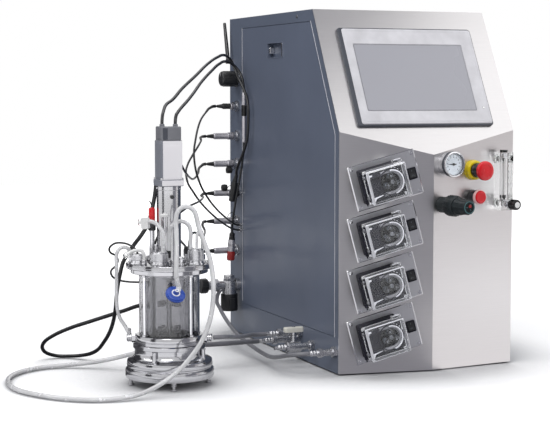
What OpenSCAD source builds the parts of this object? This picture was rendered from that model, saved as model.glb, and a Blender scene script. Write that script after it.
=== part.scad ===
// Bench bioreactor: a sheet-metal control cabinet and a jacketed glass stirred vessel
// standing beside it, joined by cables and silicone tubes.
// Working frame: origin at the cabinet's front left floor corner, X right, Y back, Z up.
// placed() moves everything so that the origin is the middle of the whole footprint.

/* [Cabinet] */
// Width of the cabinet
cabinet_w = 400; // [370:1:480]
// Depth of the cabinet, without the prow
cabinet_d = 632; // [560:1:760]
// Height of the cabinet
cabinet_h = 745; // [700:1:840]
// Height of the knee, where the front starts to slope
knee_h = 494; // [480:1:520]
// How far the sloped front runs back
slope_run = 137; // [110:1:165]
// How far the ridge of the front stands forward of its corners
prow_d = 26; // [20:1:34]
// Thickness of the cabinet's sheet steel
shell_t = 2; // [1.5:0.1:3]
// Thickness of the stainless front sheet
front_t = 2; // [1.5:0.1:3]
// Height of the base pan's underside above the floor
pan_h = 12; // [10:1:20]
// Gap between the cabinet's skirt and the floor
skirt_gap = 3; // [2:0.5:6]
// Diameter of the rubber feet
foot_d = 30; // [20:1:40]

/* [Side panel] */
// Width of the frame strip above the side panel
strip_top = 24; // [16:1:30]
// Width of the frame strip in front of the side panel
strip_front = 22; // [16:1:30]
// Width of the frame strip behind the side panel
strip_rear = 84; // [76:1:95]
// Height of the frame strip under the side panel, from the floor
strip_bottom = 76; // [76:1:85]
// Thickness of the side panel
side_panel_t = 1.6; // [1:0.1:2]
// Gap round the side panel
side_seam = 1.5; // [1:0.1:3]
// Length of the panel's flush latch cup
latch_l = 88; // [70:1:100]
// Height of the panel's flush latch cup
latch_h = 32; // [26:1:40]
// Depth of the latch cup
latch_depth = 13; // [10:1:18]

/* [Touch panel] */
// Width of the touch panel
touch_w = 312; // [290:1:330]
// Height of the touch panel along the slope
touch_h = 230; // [200:1:240]
// How far the touch panel stands proud of the slope
touch_proud = 8; // [5:0.5:12]
// Depth of the touch panel's back box behind the slope
touch_back = 40; // [30:1:50]
// Width of the screen
screen_w = 256; // [220:1:262]
// Height of the screen
screen_h = 163; // [140:1:180]
// Gap under the touch panel, along the slope
touch_low = 9.5; // [6:0.5:14]

/* [Pumps] */
// Length of a pump's mounting plate
plate_w = 145; // [140:1:150]
// Height of a pump's mounting plate
plate_h = 93; // [88:1:96]
// Thickness of a pump's mounting plate
plate_t = 2; // [1.5:0.1:3]
// Tilt of the plates
pump_tilt = 15; // [10:1:16]
// Height of the lowest plate's centre
pump_low = 83; // [80:1:90]
// Height from one plate to the next
pump_pitch = 104.4; // [102:0.1:107]
// Length of a pump housing
housing_w = 85; // [80:1:90]
// Height of a pump housing
housing_h = 70; // [66:1:74]
// Height of the housing's front face above the wing
housing_front = 40; // [36:1:44]
// Depth of the clear cover
cover_depth = 24; // [20:1:28]
// Wall of the clear cover
cover_wall = 2.5; // [2:0.1:3]
// Outer diameter of the pump tube
pump_tube_d = 7; // [6:0.5:8]
// Radius of the pump tube's bend, to its centre
pump_tube_r = 21.5; // [20:0.5:23]

/* [Instruments] */
// Diameter of the pressure gauge's case
gauge_d = 50; // [45:1:54]
// Depth of the pressure gauge
gauge_depth = 25; // [20:1:30]
// Diameter of the emergency stop's mushroom head
stop_d = 40; // [34:1:44]
// Diameter of the push button's red cap
button_d = 24; // [20:1:26]
// Largest diameter of the pressure regulator
regulator_d = 43; // [38:1:46]
// Length of the pressure regulator in front of the wing
regulator_l = 95; // [90:1:105]
// Height of the flowmeter's body
flowmeter_h = 120; // [110:1:130]
// Width of the flowmeter's body
flowmeter_w = 30; // [26:1:34]
// Diameter of the flowmeter's knob
flow_knob_d = 22; // [18:1:26]

/* [Side sockets] */
// Distance of the sensor sockets from the cabinet's back
socket_back = 54; // [44:1:60]
// Diameter of a sensor plug's barrel
plug_d = 15; // [12:0.5:18]
// Diameter of the main switch's knob
switch_d = 36; // [30:1:40]
// Length of the antenna
antenna_l = 90; // [70:1:120]

/* [Vessel] */
// How far the base ring stands out past the neck
base_out = 20; // [16:1:28]
// Height of the levelling feet
vessel_foot_h = 16; // [12:1:20]
// Height of the lower flange's top
flange_top = 82; // [78:1:90]
// Outer radius of the glass jacket
glass_r = 59.5; // [56:0.5:60]
// Thickness of each glass wall
glass_t = 3; // [2.5:0.1:4]
// Width of the water space between the glass walls
jacket_gap = 8; // [6:0.5:10]
// Height of the glass
glass_h = 140; // [120:1:170]
// How far the head plate stands out past the glass
head_out = 25; // [22:0.5:32]
// Thickness of the head plate
head_t = 10; // [8:0.5:14]
// Diameter of the motor column
column_d = 48; // [44:1:52]
// Height of the motor column
column_h = 150; // [130:1:170]
// Side of the square stirrer motor
motor_w = 43.5; // [40:0.5:48]
// Diameter of the tie rods beside the glass
rod_d = 6; // [5:0.5:8]
// Diameter of the stirrer shaft
shaft_d = 8; // [6:0.5:10]
// Radius of the impellers
impeller_r = 24; // [18:1:26]
// Distance of the vessel's axis left of the cabinet
vessel_away = 342; // [342:1:342]

/* [Hidden] */
$fn = 48;
running = 0.05;
seat_gap = 0.3;
tiny = 0.01;
bolt_fn = 6;

// Cabinet geometry
slope_angle = atan2(cabinet_h - knee_h, slope_run);
wing_angle = atan2(prow_d, cabinet_w / 2);
function slope_y(z) = (z - knee_h) * slope_run / (cabinet_h - knee_h);
function slope_z(y) = knee_h + y * (cabinet_h - knee_h) / slope_run;
front_normal_t = front_t * cos(wing_angle);

// Placement of the vessel beside the cabinet, and of the whole about the middle of its footprint
neck_r = glass_r + 7.5;
base_r = neck_r + base_out;
regulator_u = 20;
vessel_x = -vessel_away;
vessel_y = 52;
front_reach = prow_d - regulator_u * sin(wing_angle) + regulator_l * cos(wing_angle);
shift_x = -(cabinet_w + vessel_x - base_r) / 2;
shift_y = -(cabinet_d - front_reach) / 2;

// Side panel outline, grown by g on every side
function panel_outline(g) = let (
        y0 = strip_front - g,
        y1 = cabinet_d - strip_rear + g,
        z0 = strip_bottom - g,
        z1 = cabinet_h - strip_top + g,
        k = y0 / sin(slope_angle)
    ) [[y0, z0], [y1, z0], [y1, z1], [slope_y(z1) + k, z1], [y0, slope_z(y0 - k)]];
latch_y = 346;
latch_z = cabinet_h - 80;
lip_w = 10;
lip_out = 5;
catch_l = 10;
catch_h = 15;
catch_x = 3;

// Touch panel
touch_x = (cabinet_w - touch_w) / 2 - 2;
touch_step = 2;
touch_r = 8;
screen_left = 22;
screen_low = 33;
screen_t = 2.5;
cutout_margin = 12;

// Pumps, in the frame of a plate: x along it, y up it, z out of the wing
PUMPS = [for (i = [0:3]) i];
plate_u = 97.8;
housing_x = -14;
rotor_x = housing_x + 12;
housing_back = plate_t;
housing_left = housing_x - housing_w / 2;
housing_right = housing_x + housing_w / 2;
chamber_depth = 12;
bed_wall = 1.7;
bed_r = pump_tube_r + pump_tube_d / 2 + seat_gap;
bed_front = housing_front + 8;
tube_z = housing_front + 2.5;
groove_w = pump_tube_d + 2 * seat_gap;
hinge_gap = 4.5;
hinge_x = housing_left - hinge_gap;
knuckle_r = 3.5;
pin_d = 3;
knuckle_y0 = housing_h / 2 - 6.5;
knuckle_y1 = housing_h / 2 - 0.5;
lug_y0 = housing_h / 2 - 9.2;
lug_y1 = housing_h / 2 - 6.8;
cover_back = housing_front + seat_gap;
cover_front = housing_front + cover_depth;
roller_d = 12;
roller_orbit = pump_tube_r - pump_tube_d / 2 - 0.5 - roller_d / 2;
rotor_shaft_d = 6;
motor_d = 37;
motor_l = 50;
switch_x = 57;
switch_y = -2;
rocker_w = 13;
rocker_h = 18;
frame_wall = 3;
rocker_hole_w = rocker_w + 2 * seat_gap;
rocker_hole_h = rocker_h + 2 * seat_gap;
switch_cut_w = rocker_hole_w + 2;
switch_cut_h = rocker_hole_h + 2;
rocker_tilt = 10;
pivot_d = 2;
pivot_deep = 4;
frame_front = plate_t + 2.4;
screw_d = 4;
screw_head_d = 7;
screw_in = 7;

// Instruments on the right wing: distance from the ridge and height
gauge_u = 33.8;
gauge_z = 427;
stop_u = 96.5;
stop_z = 413;
button_u = 97.5;
button_z = 358;
regulator_z = 344;
flow_u = 162;
flow_low = 329;
flow_gap = 8;
flow_depth = 25;
flow_knob_z = 342;
panel_hole_d = 22.5;

// Side sockets, at the distance socket_back from the back
socket_y = cabinet_d - socket_back;
SOCKET_Z = [540, 470, 405, 336, 270, 200];
socket_d = 20;
socket_l = 14;
long_plug_end = 62;
short_plug_end = 20;
antenna_x = -14;
antenna_y = 612;
antenna_z = 645;
antenna_lean = 15;
switch_z = 604;
valve_y = 576;
wall_plug_y = 553;
wall_socket_l = 8;
elbow_mid = [-22, 553, 336];
elbow_low = [-25, 555, 318];
elbow_high = [-20, 547, 364];
elbow_top = [-18, 541, 380];
gland_y = 553;
GLAND_Z = [262, 250];
CLIP_Z = [151, 195];
filter_at = [-353, -40, 201];
hang_top = [-24, 555, 245];
hang_end = [-28, 555, 178];
wall_plug_z = 336;
mains_x = 330;
mains_z = 90;

// Water fittings along the foot of the side: distance from the front, height and length
WATER_PORTS = [[196, 61, 80], [212, 44, 85], [130, 42, 88], [14, 47, 65]];
water_hex = 20;
water_d = 14;
lever_x = -45;
lever_low = 74;

// Vessel
head_bottom = flange_top + glass_h;
plate_low_t = 9;
flange_t = 8;
collar_h = 18;
head_mid = head_bottom + plate_low_t;
head_top = head_mid + head_t;
column_top = head_top + column_h;
view_angle = -22;
rod_r = glass_r + 1.1 + rod_d / 2;
collar_r = rod_r + rod_d / 2 + 0.9;
flange_r = collar_r + 4;
head_r = glass_r + head_out;
inner_r = glass_r - 2 * glass_t - jacket_gap;
rail_z = 92;
coupling_r1 = collar_r + 16.5;
coupling_bore = 8;
motor_flange_t = 13;
motor_body_h = 75.5;
motor_cap_h = 27.5;
MOTOR_OUTLETS = [[-12, 3], [12, -7]];
outlet_h = 5;
motor_top = column_top + motor_flange_t + motor_body_h + motor_cap_h;
shaft_low = 98;
shaft_top = column_top + 14;

// Ports on the head plate: [sideways, forwards, diameter, height], seen along view_angle
PORTS = [
    [-15, 47, 34, 25], [-58, 28, 28, 20], [54, 33, 31, 30], [27, 58, 12, 18], [-30, -48, 26, 30],
    [36, -46, 22, 24], [66, 8, 10, 22], [-74, 10, 10, 16]
];
// Probes through the head plate: [sideways, forwards, diameter, reach below, height above]
PROBES = [[-33, 3, 10, 110, 82], [33, -6, 6, 115, 16], [2, 33, 6, 120, 12], [0, -36, 6, 60, 40]];

// Routes of the cables and tubes: hand-chosen points in the working frame
ROUTE_MOTOR_POWER = [
    [-354, 55, 510], [-353, 57, 521], [-350, 63, 530], [-346, 71, 535], [-328, 108, 549], [-305, 140, 558],
    [-265, 200, 580], [-210, 275, 607], [-140, 395, 635], [-85, 484, 652], [-54, 530, 658], [-39, 549, 656],
    [-26, 558, 648], [-19, 557, 635], [-17, 547, 620], [-17, 529, 604], [-15, 507, 585], [-12, 489, 561],
    [-12, 480, 536], [-12, 480, 500], [-13, 487, 462], [-17, 503, 430], [-21, 523, 403], [-20, 536, 389],
    [-18, 542, 377]
];
ROUTE_MOTOR_SIGNAL = [
    [-330, 45, 510], [-329, 47, 521], [-325, 53, 530], [-320, 60, 534], [-303, 86, 544], [-284, 116, 553],
    [-250, 175, 569], [-200, 268, 593], [-135, 385, 619], [-85, 470, 637], [-57, 511, 643], [-39, 529, 641],
    [-24, 536, 633], [-13, 533, 619], [-9, 526, 603], [-9, 518, 586], [-10, 512, 568]
];
ROUTE_MOTOR_TAIL = [
    [-10, 512, 460], [-10, 513, 445], [-12, 519, 410], [-16, 531, 360], [-21, 543, 310], [-24, 551, 272],
    [-24, 555, 252], [-24, 555, 240]
];
ROUTE_SENSOR_1 = [
    [-46, 578, 540], [-60, 576, 540], [-76, 558, 537], [-104, 510, 527], [-140, 450, 505], [-165, 405, 470],
    [-175, 388, 440], [-173, 385, 408], [-158, 398, 372], [-130, 427, 338], [-95, 465, 308],
    [-58, 505, 284], [-30, 537, 269], [-12, 551, 262], [-3, 553, 262]
];
ROUTE_SENSOR_2 = [
    [-72, 578, 470], [-84, 577, 470], [-98, 560, 469], [-118, 505, 462], [-142, 460, 449], [-167, 425, 431],
    [-188, 395, 412], [-199, 372, 396], [-198, 366, 379], [-180, 380, 355], [-150, 410, 326],
    [-110, 448, 296], [-70, 486, 272], [-40, 518, 258], [-20, 542, 252], [-10, 551, 250], [-3, 553, 250]
];
ROUTE_SENSOR_3 = [
    [-72, 578, 405], [-84, 577, 405], [-98, 560, 402], [-138, 468, 390], [-190, 345, 386], [-240, 225, 396],
    [-278, 145, 414], [-303, 108, 436], [-322, 96, 450], [-332, 91, 455], [-337, 79, 457]
];
ROUTE_SENSOR_4 = [
    [-72, 578, 336], [-84, 577, 336], [-97, 558, 335], [-127, 465, 336], [-182, 338, 336], [-240, 228, 336],
    [-276, 158, 334], [-300, 120, 329], [-318, 98, 321], [-327, 88, 310], [-328, 86, 300], [-328, 86, 290]
];
ROUTE_SENSOR_5 = [
    [-72, 578, 270], [-84, 577, 270], [-96, 556, 269], [-125, 460, 260], [-172, 335, 260], [-215, 225, 271],
    [-248, 155, 284], [-272, 110, 291], [-286, 88, 285], [-291, 81, 273], [-291, 81, 260]
];
ROUTE_SENSOR_6 = [
    [-72, 578, 200], [-84, 577, 200], [-98, 556, 198], [-140, 455, 196], [-190, 340, 212], [-235, 240, 237],
    [-275, 172, 266], [-305, 136, 287], [-330, 116, 294], [-346, 109, 288], [-352, 108, 276],
    [-352, 108, 264]
];
ROUTE_THIN_LOOP = [
    [-406, 48, 257], [-410, 50, 268], [-419, 62, 277], [-430, 80, 280], [-440, 98, 277], [-446, 112, 267],
    [-441, 122, 257], [-429, 127, 250], [-423, 132, 240], [-425, 139, 229], [-434, 145, 217],
    [-430, 149, 206], [-416, 147, 198], [-400, 138, 195], [-384, 125, 195], [-372, 115, 195]
];
ROUTE_HEATER = [
    [-362, 72, 391], [-363, 73, 378], [-367, 72, 358], [-374, 67, 335], [-384, 62, 313], [-395, 64, 295],
    [-405, 76, 277], [-413, 90, 259], [-421, 101, 240], [-425, 112, 213], [-425, 136, 172],
    [-420, 166, 133], [-415, 215, 90], [-415, 270, 54], [-419, 325, 25], [-433, 372, 10], [-457, 399, 5],
    [-484, 410, 6], [-507, 405, 15], [-519, 388, 30], [-518, 367, 46], [-504, 343, 62], [-480, 309, 80],
    [-447, 260, 100], [-416, 216, 118], [-397, 175, 132], [-383, 141, 144], [-370, 116, 151]
];
ROUTE_AIR = [
    [-396, 34, 324], [-388, 26, 325], [-378, 16, 320], [-370, 8, 307], [-367, 6, 290], [-368, 8, 276],
    [-368, 9, 262]
];
ROUTE_FEED = [
    [-77, 212, 44], [-95, 212, 44], [-118, 207, 45], [-150, 193, 47], [-185, 182, 49], [-225, 178, 50],
    [-270, 181, 50], [-310, 190, 48], [-345, 202, 42], [-375, 218, 33], [-410, 240, 22], [-450, 268, 12],
    [-495, 290, 6], [-540, 290, 5], [-585, 266, 5], [-622, 220, 5], [-642, 150, 5], [-640, 75, 5],
    [-612, 10, 5], [-570, -42, 5], [-522, -72, 5], [-480, -78, 6], [-435, -74, 12], [-394, -69, 28],
    [-362, -70, 50], [-338, -73, 76], [-318, -75, 105], [-303, -73, 138], [-293, -66, 175],
    [-289, -56, 215], [-291, -44, 255], [-300, -30, 292], [-306, -20, 318], [-309, -17, 335],
    [-312, -15, 345], [-319, -14, 352], [-329, -13, 355], [-339, -13, 352], [-346, -13, 344],
    [-349, -14, 333], [-350, -19, 308], [-352, -27, 280], [-356, -37, 248], [-358, -42, 224],
    [-353, -40, 206]
];
ROUTE_INNER_ARCH = [
    [-311, 10, 262], [-312, 10, 285], [-312, 9, 305], [-315, 8, 315], [-322, 8, 322], [-332, 9, 325],
    [-342, 11, 322], [-349, 14, 315], [-352, 17, 305], [-352, 20, 285], [-352, 21, 264]
];
ROUTE_SMALL_ARCH = [
    [-303, -2, 262], [-303, -2, 277], [-303, -2, 290], [-302, 0, 297], [-298, 4, 303], [-293, 9, 305],
    [-288, 14, 303], [-285, 18, 297], [-284, 20, 290], [-284, 20, 275], [-284, 20, 260]
];
ROUTE_OVERFLOW = [
    [-414, 70, 252], [-414, 70, 259], [-416, 71, 265], [-421, 72, 270], [-428, 74, 272], [-434, 75, 270],
    [-439, 76, 265], [-441, 78, 258], [-441, 80, 236], [-440, 84, 205], [-439, 88, 175], [-437, 91, 148],
    [-431, 91, 129], [-423, 87, 115], [-417, 82, 102]
];
ROUTE_JACKET = [
    [-72, 196, 61], [-90, 196, 61], [-112, 185, 63], [-140, 152, 68], [-170, 116, 73], [-200, 78, 80],
    [-219, 50, 86], [-232, 30, 90], [-246, 20, 92], [-262, 20, 92]
];
ROUTE_SUPPLY = [
    [-46, 576, 106], [-53, 573, 98], [-60, 563, 87], [-67, 520, 70], [-75, 450, 51], [-81, 365, 34],
    [-85, 280, 25], [-89, 200, 21], [-94, 135, 23], [-97, 85, 31], [-96, 47, 40], [-87, 24, 45],
    [-73, 15, 47], [-58, 14, 47]
];

// Route helpers: a smooth curve through the points, and rings along it
function unit(v) = v / norm(v);
function heading(p, i) = let (n = len(p) - 1)
    i == 0 ? unit(2 * unit(p[1] - p[0]) - heading(p, 1))
    : i == n ? unit(2 * unit(p[n] - p[n - 1]) - heading(p, n - 1))
    : let (a = p[i] - p[i - 1], c = p[i + 1] - p[i]) unit(norm(c) / norm(a) * a + norm(a) / norm(c) * c);
function hermite(b, c, m, n, t) = (2 * t ^ 3 - 3 * t ^ 2 + 1) * b + (t ^ 3 - 2 * t ^ 2 + t) * m
    + (3 * t ^ 2 - 2 * t ^ 3) * c + (t ^ 3 - t ^ 2) * n;
function smooth(p, k) = concat([for (i = [0:len(p) - 2]) let (l = norm(p[i + 1] - p[i])) for (j = [0:k - 1])
    hermite(p[i], p[i + 1], l * heading(p, i), l * heading(p, i + 1), j / k)], [p[len(p) - 1]]);
function tangent(p, i) = unit(p[min(i + 1, len(p) - 1)] - p[max(i - 1, 0)]);
function carried(side, dir) = unit(side - (side * dir) * dir);
function sides(p, i, s) = i >= len(p) ? []
    : let (r = carried(s, tangent(p, i))) concat([r], sides(p, i + 1, r));

module tube(route, d) {
    n = 8;
    p = smooth(route, 2);
    start = tangent(p, 0);
    s = sides(p, 0, carried(abs(start[2]) > 0.8 ? [1, 0, 0] : [0, 0, 1], start));
    m = len(p);
    points = [for (i = [0:m - 1]) let (a = s[i], b = cross(tangent(p, i), a))
        for (j = [0:n - 1]) p[i] + d / 2 * (cos(360 * j / n) * a + sin(360 * j / n) * b)];
    walls = [for (i = [0:m - 2]) for (j = [0:n - 1])
        [i * n + j, (i + 1) * n + j, (i + 1) * n + (j + 1) % n, i * n + (j + 1) % n]];
    ends = [[for (j = [0:n - 1]) j], [for (j = [n - 1:-1:0]) (m - 1) * n + j]];
    polyhedron(points, concat(walls, ends));
}

function along(a, b, t) = a + t * (b - a);

// Frames
module placed() {
    translate([shift_x, shift_y, 0]) children();
}
module on_slope() {
    translate([0, 0, knee_h]) rotate([slope_angle, 0, 0]) children();
}
module on_left_wing() {
    rotate([90, 0, -wing_angle]) children();
}
module on_right_wing(u, z) {
    translate([cabinet_w / 2, -prow_d, 0]) rotate([90, 0, wing_angle]) translate([u, z, 0]) children();
}
module on_pump(i) {
    on_left_wing() translate([plate_u, pump_low + (3 - i) * pump_pitch, 0]) rotate([0, 0, pump_tilt])
        children();
}
module on_pumps() {
    for (i = PUMPS) on_pump(i) children();
}
module on_side(y, z) {
    translate([0, y, z]) rotate([0, -90, 0]) children();
}
module at_vessel() {
    translate([vessel_x, vessel_y, 0]) children();
}
module at_head(sideways, forwards) {
    at_vessel() rotate([0, 0, view_angle]) translate([sideways, -forwards, 0]) children();
}

// Small shapes
module disc(r, z0, z1) {
    translate([0, 0, z0]) cylinder(r = r, h = z1 - z0);
}
module ring(r1, r0, z0, z1) {
    difference() {
        disc(r1, z0, z1);
        disc(r0, z0 - 1, z1 + 1);
    }
}
module rounded(w, h, r) {
    square([w - 2 * r, h], center = true);
    square([w, h - 2 * r], center = true);
    for (x = [-1, 1]) for (y = [-1, 1]) translate([x * (w / 2 - r), y * (h / 2 - r)]) circle(r);
}
module block(w, h, r, z0, z1) {
    translate([0, 0, z0]) linear_extrude(z1 - z0) rounded(w, h, r);
}
module hex(across, z0, z1) {
    translate([0, 0, z0]) cylinder(d = across / cos(30), h = z1 - z0, $fn = bolt_fn);
}
module rod_between(a, b, d) {
    v = b - a;
    translate(a) rotate([0, acos(v[2] / norm(v)), atan2(v[1], v[0])]) cylinder(d = d, h = norm(v));
}

// Cabinet: the body's outer form, with its front faces moved back by dy and its sides grown by g
module cabinet_form(dy, g) {
    z0 = skirt_gap - g;
    z1 = cabinet_h + g;
    corner = dy + g * tan(wing_angle);
    back = cabinet_d + g;
    intersection() {
        translate([0, 0, z0]) linear_extrude(z1 - z0)
            polygon([[-g, corner], [cabinet_w / 2, dy - prow_d], [cabinet_w + g, corner],
                [cabinet_w + g, back], [-g, back]]);
        translate([-g, 0, 0]) rotate([90, 0, 90]) linear_extrude(cabinet_w + 2 * g)
            polygon([[dy - prow_d - 1, z0], [back, z0], [back, z1], [dy + slope_y(z1), z1],
                [dy - prow_d - 1, slope_z(-prow_d - 1)]]);
    }
}
module cabinet_shell() {
    placed() color([0.27, 0.30, 0.35]) {
        difference() {
            intersection() {
                cabinet_form(0, 0);
                cabinet_form(front_t, 1);
            }
            translate([shell_t, -100, pan_h + shell_t])
                cube([cabinet_w - 2 * shell_t, cabinet_d - shell_t + 100, cabinet_h - pan_h - 2 * shell_t]);
            translate([shell_t, -100, 0]) cube([cabinet_w - 2 * shell_t, cabinet_d - shell_t + 100, pan_h]);
            side_sheet(0, -1, shell_t + 1);
            for (z = SOCKET_Z) on_side(socket_y, z) disc(8 + seat_gap, -shell_t - 1, 1);
            for (p = WATER_PORTS) on_side(p[0], p[1]) disc(6 + seat_gap, -shell_t - 1, 1);
        }
        difference() {
            side_sheet(lip_out, shell_t, 2 * shell_t);
            side_sheet(-lip_w, shell_t - 1, 2 * shell_t + 1);
        }
    }
}
module side_sheet(g, x0, x1) {
    translate([x0, 0, 0]) rotate([90, 0, 90]) linear_extrude(x1 - x0) polygon(panel_outline(g));
}
module front_panel() {
    placed() color([0.72, 0.71, 0.72]) difference() {
        cabinet_form(0, 0);
        cabinet_form(front_t, 1);
        on_slope() translate([touch_x + touch_w / 2, touch_low + touch_h / 2, 0])
            block(touch_w - 2 * cutout_margin + 2, touch_h - 2 * cutout_margin + 2, 3, -20, 10);
        on_pumps() {
            translate([rotor_x, 0, 0]) disc(8, -10, 10);
            translate([switch_x, switch_y, 0]) block(switch_cut_w, switch_cut_h, 1, -10, 10);
            for (x = [-1, 1]) for (y = [-1, 1]) plate_corner(x, y) disc(screw_d / 2 + 0.1, -10, 10);
        }
        on_right_wing(gauge_u, gauge_z) disc(7, -10, 10);
        on_right_wing(stop_u, stop_z) disc(panel_hole_d / 2, -10, 10);
        on_right_wing(button_u, button_z) disc(panel_hole_d / 2, -10, 10);
        on_right_wing(regulator_u, regulator_z) disc(10, -10, 10);
        for (z = [flow_low + 14, flow_low + flowmeter_h - 14]) on_right_wing(flow_u, z) disc(6.5, -10, 10);
    }
}
module left_side_panel() {
    cup = side_panel_t;
    placed() color([0.34, 0.37, 0.43]) difference() {
        union() {
            side_sheet(-side_seam, shell_t - side_panel_t, shell_t);
            latch_box(-cup, 0.5, latch_depth + cup);
        }
        latch_box(0, -1, latch_depth);
    }
}
module latch_box(g, x0, x1) {
    w = latch_l - 2 * g;
    h = latch_h - 2 * g;
    translate([x0, latch_y - w / 2, latch_z - h / 2]) cube([x1 - x0, w, h]);
}
module side_latch_catch() {
    placed() color([0.8, 0.8, 0.82]) {
        translate([catch_x, latch_y + latch_l / 2 - catch_l - 1, latch_z - catch_h / 2])
            cube([latch_depth - catch_x - seat_gap, catch_l, catch_h]);
    }
}
module cabinet_feet() {
    in_x = 35;
    in_y = 45;
    placed() color([0.08, 0.08, 0.09]) for (x = [in_x, cabinet_w - in_x]) for (y = [in_y, cabinet_d - in_y])
        translate([x, y, 0]) {
            disc(foot_d / 2 - 1.5, 0, 2);
            disc(foot_d / 2, 2, pan_h);
        }
}

// Touch panel, in the frame of the slope
module at_touch() {
    placed() on_slope() translate([touch_x, touch_low, 0]) children();
}
module touch_panel_housing() {
    color([0.62, 0.63, 0.66]) at_touch() difference() {
        translate([touch_w / 2, touch_h / 2, 0]) {
            block(touch_w, touch_h, touch_r, 0, touch_proud - touch_step);
            block(touch_w - 2 * touch_step, touch_h - 2 * touch_step, touch_r, touch_proud - touch_step,
                touch_proud);
            block(touch_w - 2 * cutout_margin, touch_h - 2 * cutout_margin, 3, -touch_back, 0);
        }
        at_screen() block(screen_w, screen_h, 2, touch_proud - screen_t - seat_gap, touch_proud + 1);
    }
}
module at_screen() {
    translate([screen_left + screen_w / 2, screen_low + screen_h / 2, 0]) children();
}
module touch_screen() {
    color([0.33, 0.35, 0.37]) at_touch() at_screen()
        block(screen_w - 2 * seat_gap, screen_h - 2 * seat_gap, 2, touch_proud - screen_t, touch_proud - 0.4);
}

// Units inside the cabinet
module control_unit() {
    placed() color([0.80, 0.80, 0.78]) translate([105, cabinet_d - shell_t - 75, 380]) {
        cube([190, 75, 100]);
        for (i = [0:5]) translate([12 + i * 29, -8, 12]) cube([20, 8, 76]);
    }
}
module power_supply() {
    placed() color([0.7, 0.7, 0.72]) translate([100, cabinet_d - shell_t - 50, 230]) difference() {
        cube([200, 50, 110]);
        for (i = [0:8]) translate([20 + i * 18, -1, 20]) cube([8, 10, 70]);
    }
}
module circulation_pump() {
    placed() color([0.25, 0.27, 0.3]) translate([200, 330, pan_h + shell_t]) {
        translate([-55, -35, 0]) cube([110, 70, 6]);
        translate([-45, -25, 6]) cube([12, 50, 24]);
        translate([33, -25, 6]) cube([12, 50, 24]);
        translate([-70, 0, 62]) rotate([0, 90, 0]) cylinder(d = 78, h = 110);
        translate([40, 0, 62]) rotate([0, 90, 0]) cylinder(d = 92, h = 34);
        translate([74, 0, 62]) rotate([0, 90, 0]) cylinder(d = 26, h = 26);
        translate([57, 0, 106]) cylinder(d = 24, h = 30);
    }
}

// Pump stations on the left wing
module plate_corner(x, y) {
    translate([x * (plate_w / 2 - screw_in), y * (plate_h / 2 - screw_in), 0]) children();
}
module pump_plates() {
    color([0.70, 0.70, 0.71]) placed() on_pumps() difference() {
        block(plate_w, plate_h, 3, 0, plate_t);
        translate([rotor_x, 0, 0]) disc(8, -1, plate_t + 1);
        translate([switch_x, switch_y, 0]) block(switch_cut_w, switch_cut_h, 1, -1, plate_t + 1);
        for (x = [-1, 1]) for (y = [-1, 1]) plate_corner(x, y) disc(screw_d / 2 + 0.1, -1, plate_t + 1);
    }
}
module pump_screws() {
    color([0.78, 0.78, 0.79]) placed() on_pumps() for (x = [-1, 1]) for (y = [-1, 1]) plate_corner(x, y) {
        disc(screw_d / 2, -6, plate_t);
        difference() {
            disc(screw_head_d / 2, plate_t, plate_t + 2.2);
            hex(2.5, plate_t + 1, plate_t + 3);
        }
    }
}
module pump_housings() {
    color([0.07, 0.07, 0.08]) placed() on_pumps() {
        difference() {
            translate([housing_x, 0, 0]) block(housing_w, housing_h, 4, housing_back, housing_front);
            translate([rotor_x, 0, 0]) disc(bed_r, housing_front - chamber_depth, housing_front + 1);
            translate([rotor_x, 0, 0]) disc(rotor_shaft_d / 2 + running, 0, housing_front);
            for (y = [-1, 1])
                translate([housing_left - 1, y * pump_tube_r - groove_w / 2, tube_z - groove_w / 2])
                    cube([rotor_x - housing_left + 1, groove_w, 20]);
        }
        difference() {
            translate([rotor_x, 0, 0]) ring(bed_r + bed_wall, bed_r, housing_front - tiny, bed_front);
            translate([rotor_x - 40 - 2, -40, 0]) cube([40, 80, 80]);
        }
        for (s = [-1, 1]) translate([0, s > 0 ? lug_y0 : -lug_y1, 0]) hinge_lug(lug_y1 - lug_y0);
        translate([0, -11, 0]) hinge_lug(22);
        translate([hinge_x, -knuckle_y1, housing_front]) rotate([-90, 0, 0])
            cylinder(d = pin_d, h = 2 * knuckle_y1);
    }
}
module hinge_lug(l) {
    translate([hinge_x, 0, housing_front]) rotate([-90, 0, 0]) cylinder(r = knuckle_r, h = l);
    translate([hinge_x, 0, housing_front - knuckle_r]) cube([hinge_gap + tiny, l, knuckle_r]);
}
module pump_switch_frames() {
    color([0.05, 0.05, 0.06]) placed() on_pumps() translate([switch_x, switch_y, 0]) difference() {
        union() {
            block(rocker_w + 2 * frame_wall, rocker_h + 2 * frame_wall, 2, plate_t, frame_front);
            block(switch_cut_w - 0.4, switch_cut_h - 0.4, 1, -14, plate_t);
        }
        block(rocker_hole_w, rocker_hole_h, 0.5, -12, frame_front + 1);
        translate([-20, 0, frame_front - pivot_deep]) rotate([0, 90, 0])
            cylinder(d = pivot_d + 2 * running, h = 40);
    }
}
module pump_motors() {
    color([0.5, 0.5, 0.52]) placed() on_pumps() translate([rotor_x, 0, 0]) difference() {
        union() {
            disc(motor_d / 2, -front_normal_t - motor_l, -front_normal_t);
            disc(motor_d / 2 - 4, -front_normal_t - motor_l - 6, -front_normal_t - motor_l);
        }
        disc(rotor_shaft_d / 2 + running, -front_normal_t - 14, 1);
    }
}
module pump_tubes() {
    color([0.93, 0.93, 0.92]) placed() on_pumps() translate([rotor_x, 0, tube_z]) {
        rotate([0, 0, -90]) rotate_extrude(angle = 180) translate([pump_tube_r, 0]) circle(d = pump_tube_d);
        for (y = [-1, 1]) translate([0, y * pump_tube_r, 0]) rotate([0, -90, 0])
            cylinder(d = pump_tube_d, h = rotor_x - housing_left + 2);
    }
}
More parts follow.
